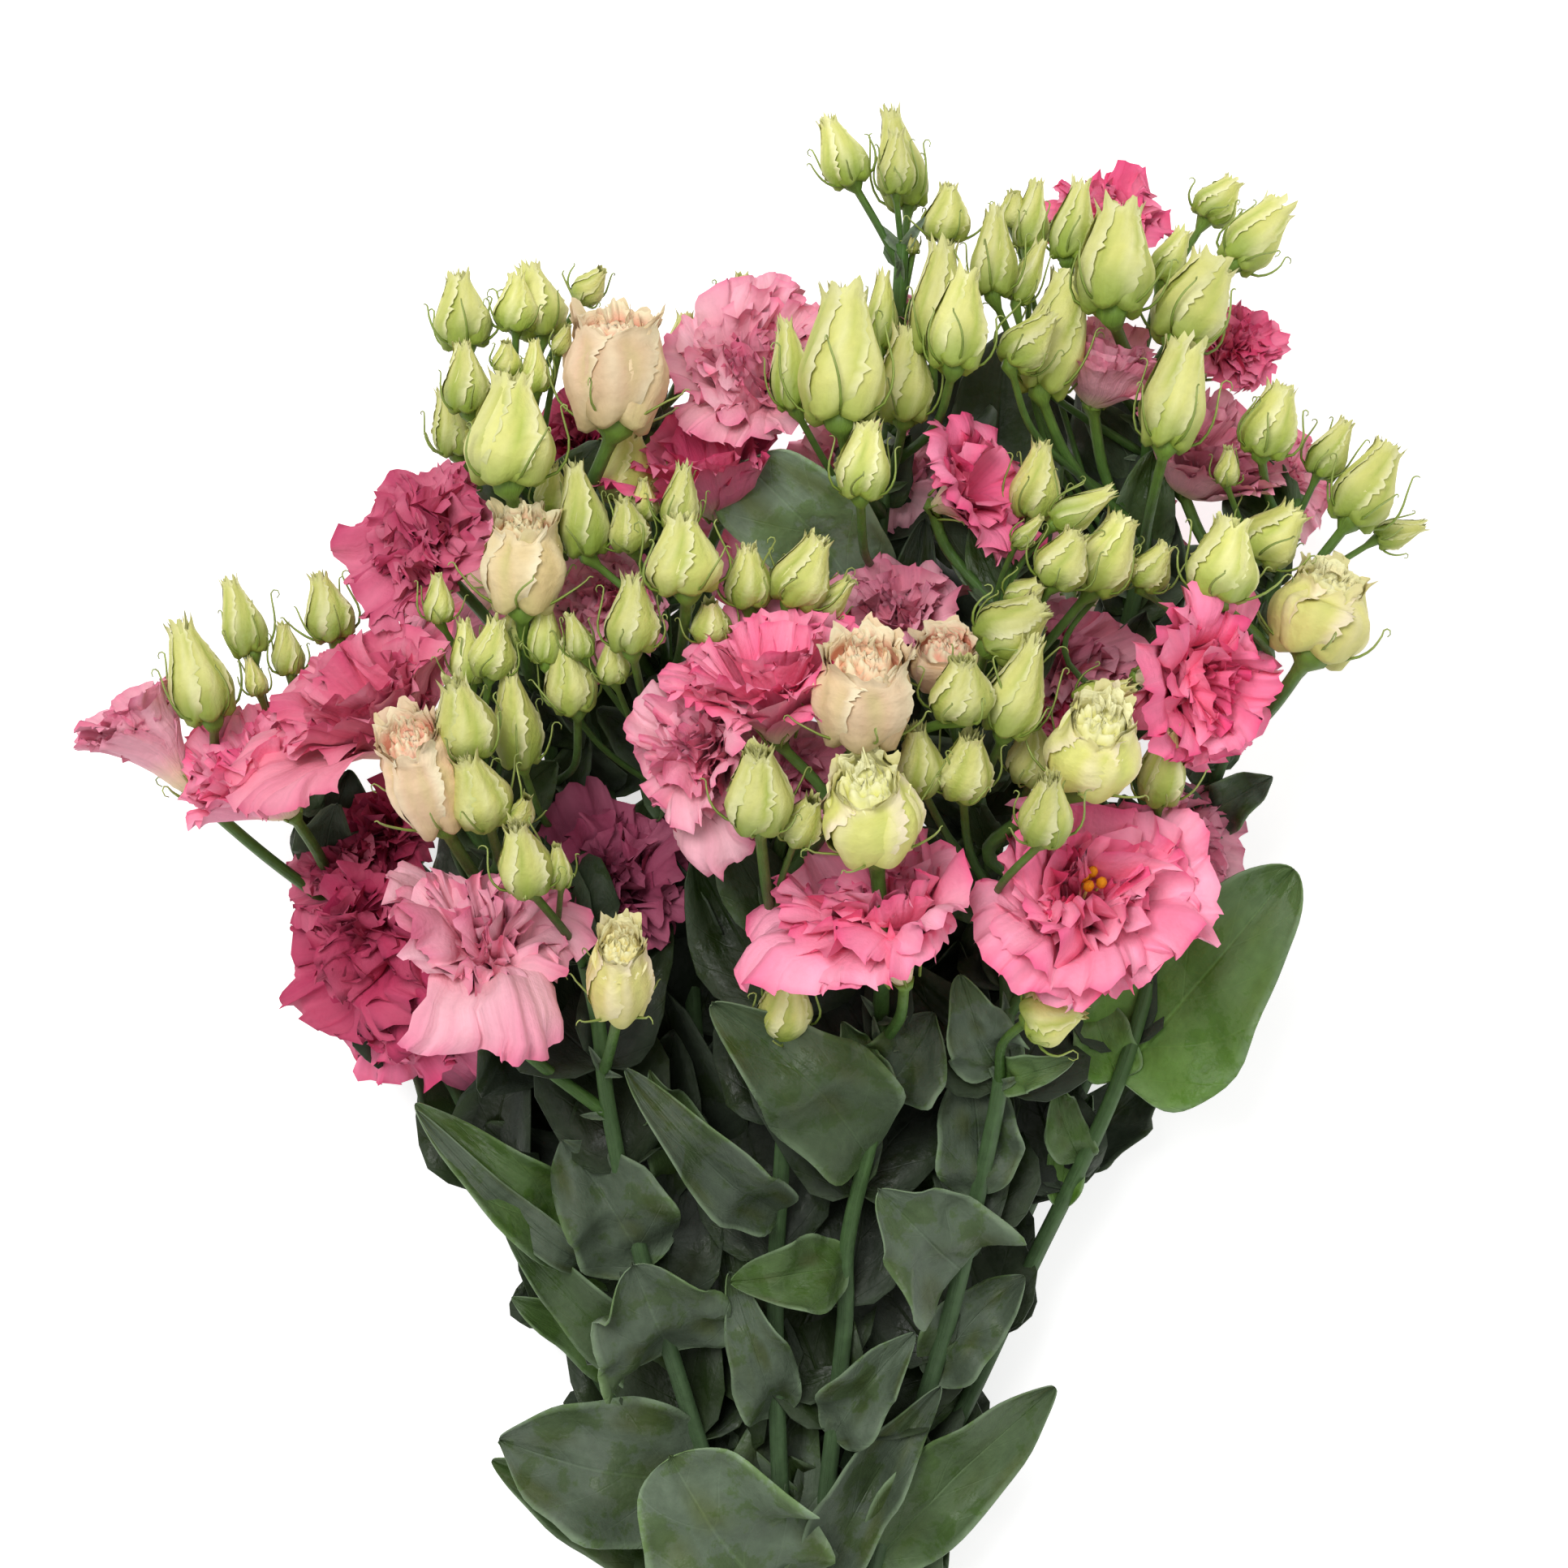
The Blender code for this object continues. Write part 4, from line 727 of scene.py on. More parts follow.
def wrapped_petals(piece, head, openness, rng, tint_of, steps, scale=1, span=(0.0, 1.0), waves=(), fray=1):
    """Five petals wound round each other, each with one ragged edge outside its neighbour.

    The mouth of an opening bud is cut lower on its upper side, so it shows what it holds.
    """
    rows, columns = steps
    t = np.linspace(*span, rows)[:, None]
    s = np.linspace(0, 1, columns)[None, :]
    radius = np.interp(t, *zip(*CLOSED)) * (1 - openness) + np.interp(t, *zip(*OPENING)) * openness
    radius = radius * head.half * scale
    phase = rng.uniform(0, math.tau)
    twist = rng.uniform(0.8, 1.3) * (1 - 0.5 * openness)
    for k in range(WRAP):
        width = math.tau / WRAP * rng.uniform(1.45, 1.75)
        edge = np.clip((s - 0.7) / 0.3, 0, 1) ** 2
        ragged = ripples(rng, t, (4, 8, 11), (0.6, 0.6, 0.6)) * ease(0.05, 0.3, t) * (1 - 0.5 * openness)
        teeth = 0.6 - 1.6 * np.abs(np.sin(math.pi * ((2.4 - 0.6 * openness) * s + rng.random())))
        notches = np.array([rng.uniform(-1, 1) for _ in range(columns)])
        crown = ripples(rng, s, (1.2, 2.3), (0.4, 0.4)) + 0.7 * teeth + 0.25 * notches
        crown = fray * crown * ease(span[1] - 0.16, span[1], t)
        crease = ripples(rng, s + 0.3 * t, (1.5, 3.2), (0.6, 0.4)) * np.sin(math.pi * t)
        hang = HANG * (1 + 0.4 * openness) * np.exp(-((t - 0.07) / 0.06) ** 2)
        hang = hang * (1 + 0.9 * np.cos(math.tau * (s - 0.5)))
        angle = phase + k * math.tau / WRAP + s * width + twist * t + 0.1 * edge * ragged
        tucked = 1 - ease(0.0, 0.35, s)
        reach = radius * (1 + 0.06 * (s - 0.5) - 0.07 * tucked + 0.028 * edge * (1 + ragged) + 0.075 * crease)
        reach = reach + crown * head.half * (0.09 + 0.04 * openness)
        rise = head.length * (CUP + (1 - CUP) * t - hang + 0.085 * crown)
        if waves:
            rise = rise - MOUTH_TILT * head.half * (np.cos(angle) + MOUTH_CUT) * ease(0.3, 1.0, t)
        grid = crumpled(around(head, reach, angle, rise), waves, ease(0.1, 0.9, t))
        piece.sheet(grid, tint_of(t, s, edge, crease) * rng.uniform(0.9, 1.06))


def sepals(piece, head, rng):
    """Five thread-like sepals that hug the foot, stand off and end in hooks."""
    blooming = head.kind == "bloom"
    profile, shortest, longest = SEPAL_REACH[head.kind]
    t = np.linspace(0, 1, SEPAL_STEPS)
    rising = np.minimum(t / 0.6, 1)
    stand = min(head.half, SEPAL_STAND)
    thick = min(THICKEST, THINNEST + head.half * 0.02)
    phase = rng.uniform(0, math.tau)
    for k in range(WRAP):
        angle = phase + k * math.tau / WRAP + rng.uniform(-0.25, 0.25) + rng.uniform(-0.4, 0.4) * rising ** 2
        share = rng.uniform(shortest, longest) * (1 - 0.4 * max(0.0, math.cos(angle[0])))
        away = rng.uniform(0.0, 0.15) if blooming else rng.uniform(0.15, 0.75)
        hook = stand * rng.uniform(0.1, 0.2)
        turned = rng.uniform(1.2, 4.6) * np.clip((t - 0.6) / 0.4, 0, 1)
        body = np.interp(rising * share, *zip(*profile)) * head.half * (1.0 if blooming else 1.1)
        reach = body + stand * (0.13 + away * rising ** 1.6) + hook * (1 - np.cos(turned))
        rise = head.length * (0.04 + share * rising) + hook * np.sin(turned)
        path = around(head, reach, angle, rise)
        tube(piece, path, thick * (1.2 - 0.8 * t), 3, mix(LIME_BASE * 0.9, SEPAL, 1.6 * t))


def bud(piece, head, rng):
    """A closed bud: lime petals over a green foot, with pale ragged edges."""
    foot = rng.uniform(0.3, 0.55) / max(head.half / FULL_BUD, 0.6)
    shade = rng.uniform(0.84, 1.04)

    def tint_of(t, s, edge, crease):
        tone = mix(LIME_BASE, LIME, ease(-0.05, foot, t))
        # Painted shade: darker green on the side tucked under the neighbouring petal and in the creases
        tone = mix(tone, LIME_PAINTED_SHADE, 0.4 * (1 - ease(0.02, 0.4, s)) * ease(0, 0.15, t) - 0.7 * crease)
        # Pale along the free edge and at the tip, their own colour; the crease term paints highlight on the
        # crests
        pale = 0.85 * edge ** 1.4 * ease(0.03, 0.2, t) + 0.4 * ease(0.8, 1, t) + 0.5 * crease
        return mix(tone, LIME_LIGHT, pale) * shade

    openness = LOOSENED.get(head.stem, TIGHT) * rng.uniform(0.6, 1.4) * (0.3 if head.half < SLIM_BUD else 1)
    steps = SMALL_BUD_STEPS if head.trait("small") else BUD_STEPS
    wrapped_petals(piece, head, openness, rng, tint_of, steps)
    if head.half > FILLED_BUD:
        for scale, span, cup_steps in TIGHT_CUPS:
            wrapped_petals(piece, head, openness, rng, tint_of, cup_steps, scale, span)


def ruffled_filling(piece, head, rng, deep, light):
    """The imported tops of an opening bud's inner petals: a disc in its mouth, drawn into tight ruffles."""
    out = np.linspace(0.02, 1, 15)[:, None]
    angle = (np.arange(48) / 48 * math.tau)[None, :]
    ruffle = 0.6 * np.sin(9 * angle + 12 * out + 5 * np.sin(2 * angle + 9 * out + rng.uniform(0, math.tau)))
    ruffle = ruffle + 0.5 * np.sin(5 * angle - 14 * out + rng.uniform(0, math.tau))
    reach = 0.86 * head.half * out * (1 + 0.05 * ruffle)
    level = 0.1 * ruffle + 0.08 - 0.4 * ease(0.5, 0.85, out) - MOUTH_TILT * (out * np.cos(angle) + MOUTH_CUT)
    grid = around(head, reach, angle, head.length * FILLING + head.half * level)
    # Painted shade and highlight: the tint runs from the deep tone in the ruffles' troughs to the light one
    # on their crests
    piece.sheet(grid, mix(deep, light, 0.5 + 0.6 * ruffle), closed=True)


def opening_bud(piece, head, rng):
    """An opening bud: outer petals wound into a cup, and the frilled tops of the inner ones in its mouth."""
    blush = head.trait("blush")
    openness = 0.6 + 0.4 * blush
    light = mix(LIME_LIGHT, CREAM, blush)
    waves = folds(rng, head.half)[3:]

    def outer(t, s, edge, crease):
        body = mix(LIME, mix(PEACH, PEACH_DEEP, 0.3 * rng.random()), blush * rng.uniform(0.75, 1))
        tone = mix(mix(LIME_BASE, body, 0.6), body, ease(0.0, 0.2, t))
        # Painted shade: darker green on the side tucked under the neighbouring petal and in the creases
        tone = mix(tone, LIME_PAINTED_SHADE, 0.25 * (1 - ease(0.02, 0.3, s)) - 0.3 * crease)
        # Cream along the free edge and at the tips, their own colour; the crease term paints highlight on the
        # crests
        return mix(tone, CREAM, 0.8 * edge + 0.45 * ease(0.7, 1, t) + 0.5 * crease)

    def inner(t, s, edge, crease):
        return mix(mix(LIME_LIGHT, PEACH_DEEP, blush), light, ease(0.8, 0.95, t))

    wrapped_petals(piece, head, openness, rng, outer, OPENING_STEPS, waves=waves)
    ruffled_filling(piece, head, rng, mix(LIME, PEACH_DEEP, blush), light)
    for scale, span in INNER_CUPS:
        wrapped_petals(piece, head, openness, rng, inner, INNER_STEPS, scale, span, waves, 0.6)


# Whorls of a bloom: petals, length, lean at the foot and at the margin in degrees, half width, ruffle
WHORLS = (
    (5, 1.38, 18, 72, 1.06, 0.10),
    (5, 1.32, 12, 52, 0.94, 0.11),
    (4, 1.26, 7, 34, 0.86, 0.125),
    (4, 1.19, 2, 18, 0.68, 0.13),
    (3, 1.10, 0, 6, 0.50, 0.13),
)
PETAL_STEPS = np.array((0, 0.18, 0.35, 0.5, 0.63, 0.74, 0.83, 0.9, 0.955, 1.0))[:, None]
PETAL_COLUMNS = {3: 55, 2: 39}
INNER_COLUMNS = 0.65
DROOP_LENGTH = 0.6
DROOP_LEAN = 62
SAG = 20
ROLL = 38


def gone(rate):
    """The sum of a rate along a petal's steps."""
    middle = (rate[1:] + rate[:-1]) / 2 * np.diff(PETAL_STEPS, axis=0)
    return np.vstack([np.zeros_like(rate[:1]), np.cumsum(middle, axis=0)])


def petal(piece, head, turn, whorl, depth, toward, rng, waves):
    """One ruffled petal: it rises from the base, leans out and ends in a frilled margin."""
    _, length, foot, margin, width, ruffle = whorl
    columns = PETAL_COLUMNS[head.trait("layers")]
    columns = head.trait("columns") or (columns if depth < 0.6 else round(columns * INNER_COLUMNS))
    t = PETAL_STEPS
    s = np.linspace(-1, 1, columns)[None, :]
    x = (s + 1) / 2
    spread = head.trait("spread", 1.0)
    sag = SAG * fan(basis(head.axis), turn)[1] * (1 - depth)
    margin = (margin + rng.uniform(-18, 18)) * spread + DROOP_LEAN * toward - sag
    length = length * rng.uniform(0.86, 1.1) * (1 + DROOP_LENGTH * toward) * head.trait("longer", 1)
    crumple = head.trait("crumple", 0.75)
    ruffle = ruffle * min(1.1, 0.15 + 1.2 * crumple)
    roll = ROLL * rng.uniform(-0.2, 1.3) * (1 - 0.6 * depth) * ease(0.7, 1, t)
    bowl = head.trait("bowl", 0.0)
    lean = (1 - bowl) * (foot * spread + (margin - foot * spread) * t ** 1.2)
    lean = np.radians(lean + bowl * (68 - 56 * t) * (1 - 0.55 * depth) + roll)
    reach = length * (1 - 0.22 * np.abs(s) ** 3 + 0.04 * ripples(rng, x, (1.2, 2.6), (1, 0.6)))
    radius = 0.07 + gone(np.sin(lean)) * reach
    height = gone(np.cos(lean)) * reach
    coarse = ripples(rng, x + 0.1 * t, (1.3, 2.4, 3.7), (0.6, 0.8, 0.5))
    frill = ripples(rng, x, (5.0, 7.3, 9.9), (0.5, 0.6, 0.5))
    curl = ripples(rng, x, (4.8, 7.4), (0.7, 0.5))
    dent = ripples(rng, x, (0.8, 1.6), (0.5, 0.5)) * ripples(rng, t, (0.8, 1.5), (0.6, 0.5))
    ragged = np.array([rng.uniform(-1, 1) for _ in range(columns)])
    crinkle = np.array([rng.gauss(0, 1) for _ in range(columns)])
    fringe = ripples(rng, x, (11.5, 17.0), (0.6, 0.5))
    offset = ruffle * (coarse * t ** 1.7 + 0.6 * frill * t ** 5) + 0.035 * dent * np.sin(math.pi * t)
    offset = offset + 0.007 * crinkle * t ** 9 + 0.045 * fringe * t ** 8
    uneven = 0.016 * ragged * t ** 16 + 0.02 * frill * t ** 5 + 0.03 * fringe * t ** 14
    radius = radius + offset * np.cos(lean) * (1 - 0.3 * np.abs(s)) + uneven * np.sin(lean)
    height = height - offset * np.sin(lean) + uneven * np.cos(lean)
    half = width * rng.uniform(0.92, 1.1) * (0.18 + 0.82 * t ** 0.85)
    swing = half / np.maximum(radius.mean(axis=1, keepdims=True), 0.2)
    angle = turn + s * swing + 0.06 * curl * t ** 4 / np.maximum(radius, 0.3)
    grid = around(head, radius * (1 - 0.09 * s) * head.half, angle, height * head.half)
    grid = crumpled(grid, waves, crumple * ease(0.1, 0.8, t))
    *tones, pale = TONES[head.trait("tone")]
    outer, inner, rim = (srgb(*tone) for tone in tones)
    # Inner whorls take the deeper inner tone: partly their own colour, partly painted shade within the bloom
    body = mix(outer, inner, depth * rng.uniform(0.5, 1)) * rng.uniform(0.94, 1.06)
    tone = mix(THROAT, body, ease(0.05, 0.55 - 0.2 * depth, t))
    light = mix(outer, PETAL_LIGHT, pale)
    tone = mix(tone, light if rng.random() < 0.6 else rim, (0.5 + 0.2 * depth) * t ** 6)
    # Painted shade and highlight: deeper pink where the coarse ruffles and frills fold in, lighter pink where
    # they bulge out; the very margin takes its own rim colour
    tone = mix(tone, rim, 0.5 * t ** 28 + 0.4 * np.clip(-coarse, 0, 1) * t ** 2)
    tone = mix(tone, light, 0.3 * np.clip(coarse, 0, 1) * t ** 2 + 0.3 * np.clip(frill, 0, 1) * t ** 4)
    tone = mix(tone, rim, 0.35 * np.clip(-frill, 0, 1) * t ** 4)
    piece.sheet(grid, tone)


def stamens(piece, head, rng):
    """Anthers on their filaments in the middle of a bloom that shows them."""
    up_to = np.array((0, 0.5, 1))
    for k in range(4):
        angle = k * math.tau / 4 + rng.uniform(-0.3, 0.3)
        out = head.half * rng.uniform(0.05, 0.1)
        path = around(head, out * up_to, angle, head.length * (0.3 + 0.66 * up_to))
        tube(piece, path, (0.5 * MM, 0.4 * MM, 0.4 * MM), 5, LIME)
        anther = [path[-1] + head.axis * step * MM for step in (-0.6, 0.4, 1.6, 2.8, 3.6)]
        tube(piece, anther, (0.5 * MM, 1.3 * MM, 1.5 * MM, 1.2 * MM, 0.4 * MM), 7, STAMEN)


def bloom(piece, head, rng):
    """A double bloom: whorls of ruffled petals, the inner ones narrower and more upright."""
    whorls = WHORLS[:head.trait("whorls", head.trait("layers") + 2)]
    waves = folds(rng, head.half)
    if head.name == OPEN_CENTRE:
        whorls = whorls[:4] + ((2,) + whorls[4][1:],)
        stamens(piece, head, rng)
    turn = rng.uniform(0, math.tau)
    hangs = [(axis_vector(azimuth, 90), share) for azimuth, share in head.trait("hangs", ())]
    hangs = [(unit(direction - head.axis * (direction @ head.axis)), share) for direction, share in hangs]
    for layer, whorl in enumerate(whorls):
        turn += math.pi / WRAP + rng.uniform(-0.3, 0.3)
        for k in range(whorl[0]):
            angle = turn + k * math.tau / whorl[0] + rng.uniform(-0.2, 0.2)
            outward = fan(basis(head.axis), angle)
            toward = sum(max(0.0, outward @ direction) ** 3 * share for direction, share in hangs)
            toward *= (1, 0.4, 0, 0, 0)[layer]
            petal(piece, head, angle, whorl, layer / (len(whorls) - 1), toward, rng, waves)


LEAF_THICKNESS = 0.35 * MM
LEAF_STEPS, PAIR_STEPS, BRACT_STEPS = (26, 17), (10, 5), (6, 3)
LEAF_SHAPE = (0.45, 0.8)
# Dents of a blade: length and height as shares of its length
DENTS = ((0.75, 0.044), (0.5, 0.036), (0.36, 0.027), (0.26, 0.018))


def dented(rng, along, across):
    """The rise of a blade's dents over places given as shares of its length."""
    rise = 0
    for length, height in DENTS:
        heading = rng.uniform(0, math.pi)
        line = (along * math.cos(heading) + across * math.sin(heading)) * math.tau / length
        rise = rise + height * rng.uniform(0.6, 1.4) * np.sin(line + rng.uniform(0, math.tau))
    return rise


def leaf(piece, root, tip, width, cup, bend, rng, steps, shape=LEAF_SHAPE, painted_backlight=0.0, painted_light_and_shade=1.0, relief=1.0,
         freshness=0.9):
    """An ovate blade, cupped across, bent along and dented, with a wavy margin and a turned tip."""
    rows, columns = steps
    along = tip - root
    length = np.linalg.norm(along)
    forward = along / length
    side = np.cross(forward, (0, 0, 1))
    side = unit(side) if np.linalg.norm(side) > 0.05 else np.array((1.0, 0, 0))
    up = np.cross(side, forward)
    t = (1 - np.cos(np.linspace(0, math.pi, rows)[:, None])) / 2
    s = np.linspace(-1, 1, columns)[None, :]
    rising, falling = shape
    peak = rising / (rising + falling)
    fullest = peak ** rising * (1 - peak) ** falling
    half = 0.5 * width * (0.04 + 0.98 * t ** rising * (1 - t) ** falling / fullest)
    left, right = (1 + 0.08 * ripples(rng, t, (0.8, 1.9, 3.1), (0.7, 0.5, 0.3)) for _ in range(2))
    half = half * np.where(s < 0, left, right)
    wave = np.where(s < 0, ripples(rng, t, (1.3, 2.7), (0.8, 0.5)), ripples(rng, t, (1.5, 2.4), (0.8, 0.5)))
    middle = np.sin(math.pi * t)
    uneven = relief * middle ** 0.5
    rise = bend * length * middle + cup * rng.uniform(1.0, 2.2) * half * np.abs(s) ** 1.4
    rise = rise + width * (0.2 * wave * s * s + 0.08 * rng.uniform(-0.4, 1) * s ** 6) * uneven
    rise = rise + length * dented(rng, t, half * s / length) * uneven
    rise = rise - 0.03 * width * np.exp(-(s / 0.13) ** 2) * ease(0, 0.15, t)
    rise = rise + 0.12 * length * rng.uniform(-1, 1) * ease(0.7, 1, t)
    twist = rng.uniform(-0.6, 0.6) * relief * t
    across = half * s * np.cos(twist) + 0.07 * length * rng.uniform(-1, 1) * middle
    rise = rise + half * s * np.sin(twist)
    grid = root + along * t[..., None] + side * across[..., None] + up * rise[..., None]
    patch = ripples(rng, t + 0.3 * s, (1.1, 2.3), (0.6, 0.5))
    patch = patch * ripples(rng, s - 0.4 * t, (0.6, 1.3), (0.9, 0.6))
    fresh = ease(0.55, 1.0, rng.random()) * freshness
    tone = mix(LEAF_WAX, LEAF_FRESH, fresh) * rng.uniform(0.78, 1.15)
    tone = mix(tone, LEAF_RUBBED, 0.8 * np.clip(patch, 0, 1))
    # Painted light: bright green towards the root, as though light shone through the leaf
    tone = mix(tone, LEAF_PAINTED_BACKLIGHT, painted_backlight * (1 - 0.8 * t))
    tone = mix(tone, LEAF_VEIN, 0.55 * np.abs(s) ** 18 + 0.25 * (1 - ease(0, 0.12, t)))
    # The tint is multiplied by painted light and shade: below one for leaves deep in the bunch, above one for
    # leaves the light falls on
    piece.sheet(grid, tone * painted_light_and_shade)


def kept_inside(point, margin, depth):
    """The nearest place within the bunch's outline, some way under its upper surface."""
    scale = (VIEW_HEIGHT - REFERENCE_HEIGHT) / (PIXEL * (VIEW_HEIGHT - point[2]))
    v = MIDDLE - point[1] * scale
    rows, lefts, rights = zip(*OUTLINE)
    left, right = np.interp(v, rows, lefts) + margin, np.interp(v, rows, rights) - margin
    u = float(np.clip(MIDDLE + point[0] * scale, left, right))
    return place(u, v, float(np.clip(point[2], 3 * MM, max(4 * MM, surface_height(u, v) - depth * MM))))


def leaf_pairs(piece, axis, rng):
    """Leaves in opposite pairs down a stem, each pair across the one above, deep within the bunch."""
    row = max(row_of(axis[-1]), PAIRS_FROM) + rng.uniform(FIRST_PAIR, HEAD_PAIRS[0])
    turn = rng.uniform(0, math.tau)
    while row < PAIRS_TO:
        root, along = point_at_row(axis, row)
        turn += math.pi / 2 + rng.uniform(-0.3, 0.3)
        gap, size, depth = HEAD_PAIRS + (LOW_PAIRS - HEAD_PAIRS) * ease(LOW_FROM, LOW_TO, row)
        # Painted shade: every pair is darkened, and those in the deepest rows darker still, as shade deep in
        # the bunch would make them
        painted_light_and_shade = PAIR_PAINTED_SHADE
        if DEEP_FROM < row < DEEP_TO:
            depth, painted_light_and_shade = DEEPEST, DEEP_PAIR_PAINTED_SHADE
        for half_turn in (0, math.pi):
            outward = fan(basis(along), turn + half_turn)
            length = size * rng.uniform(0.8, 1.2) * MM
            lean = rng.uniform(0.4, 0.9)
            tip = root + length * (math.cos(lean) * along + math.sin(lean) * outward)
            width = length * rng.uniform(0.45, 0.6)
            tip = kept_inside(tip, 0.6 * width / PIXEL, depth)
            cup, bend = rng.uniform(0.1, 0.3), rng.uniform(-0.1, 0.1)
            leaf(piece, root, tip, width, cup, bend, rng, PAIR_STEPS, painted_light_and_shade=painted_light_and_shade)
        row += gap * rng.uniform(0.8, 1.2)


def bracts(piece, head, rng):
    """Two small pointed leaves where a pedicel leaves its stem."""
    along = unit(head.path[1] - head.path[0])
    turn = rng.uniform(0, math.tau)
    for half_turn in (0, math.pi):
        length = rng.uniform(5, 12) * MM
        tip = head.path[0] + length * (0.8 * along + 0.6 * fan(basis(along), turn + half_turn))
        leaf(piece, head.path[0], tip, length * 0.3, 0.3, 0.12, rng, BRACT_STEPS)


class Material:
    """A material whose nodes are added one at a time: each gives its output to feed the next."""

    def __init__(self, name, inputs):
        self.data = bpy.data.materials.new(name)
        self.data.use_nodes = True
        self.tree = self.data.node_tree
        self.shader = self.tree.nodes["Principled BSDF"]
        self.feed(self.shader, inputs)

    def feed(self, node, inputs):
        for key, value in inputs.items():
            if isinstance(value, bpy.types.NodeSocket):
                self.tree.links.new(value, node.inputs[key])
            else:
                node.inputs[key].default_value = value

    def add(self, kind, output, inputs, **settings):
        node = self.tree.nodes.new("ShaderNode" + kind)
        for key, value in settings.items():
            setattr(node, key, value)
        self.feed(node, inputs)
        return node.outputs[output]

    def math(self, operation, *values):
        return self.add("Math", 0, dict(enumerate(values)), operation=operation)

    def vector(self, operation, inputs):
        return self.add("VectorMath", "Vector", inputs, operation=operation)

    def noise(self, vector, scale, detail, roughness=0.5):
        inputs = {"Vector": vector, "Scale": scale, "Detail": detail, "Roughness": roughness}
        return self.add("TexNoise", "Fac", inputs)

    def ramp(self, value, low, high, start=0.0, end=1.0):
        inputs = {"Value": value, "From Min": low, "From Max": high, "To Min": start, "To Max": end}
        return self.add("MapRange", "Result", inputs)


def finish(name, roughness, stretch, streak, mottle_scale, mottle, relief, veins=0.0, specular=0.35):
    """A finish from the tint on the points, with streaks along each sheet and a mottle.

    Leaves also get veins, and patches where the wax is rubbed off.
    """
    own = Material(name, {"Roughness": roughness, "Specular IOR Level": specular})
    tint = own.add("Attribute", "Color", {}, attribute_name="tint")
    weave = own.add("Attribute", "Vector", {}, attribute_name="weave")
    fine = own.noise(own.vector("MULTIPLY", {0: weave, 1: stretch}), 1.0, 3.0)
    where = own.add("TexCoord", "Object", {})
    broad = own.noise(where, mottle_scale, 4.0)
    level = own.math("MULTIPLY_ADD", fine, 2 * streak, 1 - streak)
    level = own.math("MULTIPLY_ADD", broad, 2 * mottle, own.math("SUBTRACT", level, mottle))
    height = own.math("ADD", fine, broad)
    if veins:
        split = own.add("SeparateXYZ", "X", {"Vector": weave})
        out = own.math("ABSOLUTE", own.math("MULTIPLY_ADD", split, 2.0, -1.0))
        along = own.add("SeparateXYZ", "Y", {"Vector": weave})
        slanted = own.math("MULTIPLY_ADD", out, -1.5, own.math("MULTIPLY", along, 6.0))
        between = own.math("ABSOLUTE", own.math("SUBTRACT", own.math("FRACT", slanted), 0.5))
        branch, middle = (own.ramp(value, 0.0, 0.035, 1.0, 0.0) for value in (between, out))
        lines = own.math("MULTIPLY_ADD", branch, 0.3, middle)
        level = own.math("MULTIPLY_ADD", lines, veins, level)
        height = own.math("MULTIPLY_ADD", lines, -0.45, height)
        rubbed = own.ramp(own.noise(where, 75.0, 6.0, 0.65), 0.51, 0.56)
        worn = own.vector("MULTIPLY", {0: tint, 1: (0.6, 0.72, 0.36)})
        tint = own.add("Mix", 2, {0: own.math("MULTIPLY", rubbed, 0.75), 6: tint, 7: worn}, data_type="RGBA")
        own.feed(own.shader, {"Roughness": own.math("MULTIPLY_ADD", rubbed, -0.18, roughness + 0.06)})
    colour = own.vector("SCALE", {0: tint, "Scale": level})
    bump = own.add("Bump", "Normal", {"Height": height, "Strength": relief, "Distance": 0.0006})
    own.feed(own.shader, {"Base Color": colour, "Normal": bump})
    return own.data


PETAL_FINISH = finish("petal", 0.7, (40.0, 2.4, 7.3), 0.16, 500, 0.05, 0.55)
BUD_FINISH = finish("bud_petal", 0.62, (9.0, 12.0, 7.3), 0.07, 420, 0.07, 0.55)
LEAF_FINISH = finish("leaf", 0.5, (9.0, 8.0, 7.3), 0.2, 300, 0.26, 0.8, veins=0.34, specular=0.22)
STEM_FINISH = finish("stem", 0.52, (7.0, 18.0, 7.3), 0.24, 260, 0.32, 0.6)
BAND_FINISH = finish("band", 0.7, (2.0, 9.0, 7.3), 0.08, 900, 0.05, 0.2)

# The frame's origin lies under the middle of the solids' box, and the layout's under its own middle
tie_low, tie_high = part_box("tie_band")
TIE_MIDDLE = place(TIE_U, TIE_V, 0)
SHIFT = np.array(((tie_low.x + tie_high.x) / 2, (tie_low.y + tie_high.y) / 2, 0)) - TIE_MIDDLE


def pedicel_line(head):
    """A smooth line along the pedicel's few points, which for some dips or ends higher than in the solids."""
    if len(head.path) == 2:
        line = np.linspace(head.path[0], head.path[1], 9)
    else:
        line = np.array(smooth_path(head.path, 7))
    dip = SUNK.get((head.stem, head.trait("row")), 0) * MM
    share = np.linspace(0, 1, len(line))
    line[:, 2] += LIFTED.get(head.name, 0) * MM * share ** 3 - dip * np.sin(math.pi * share) ** 0.7
    return line


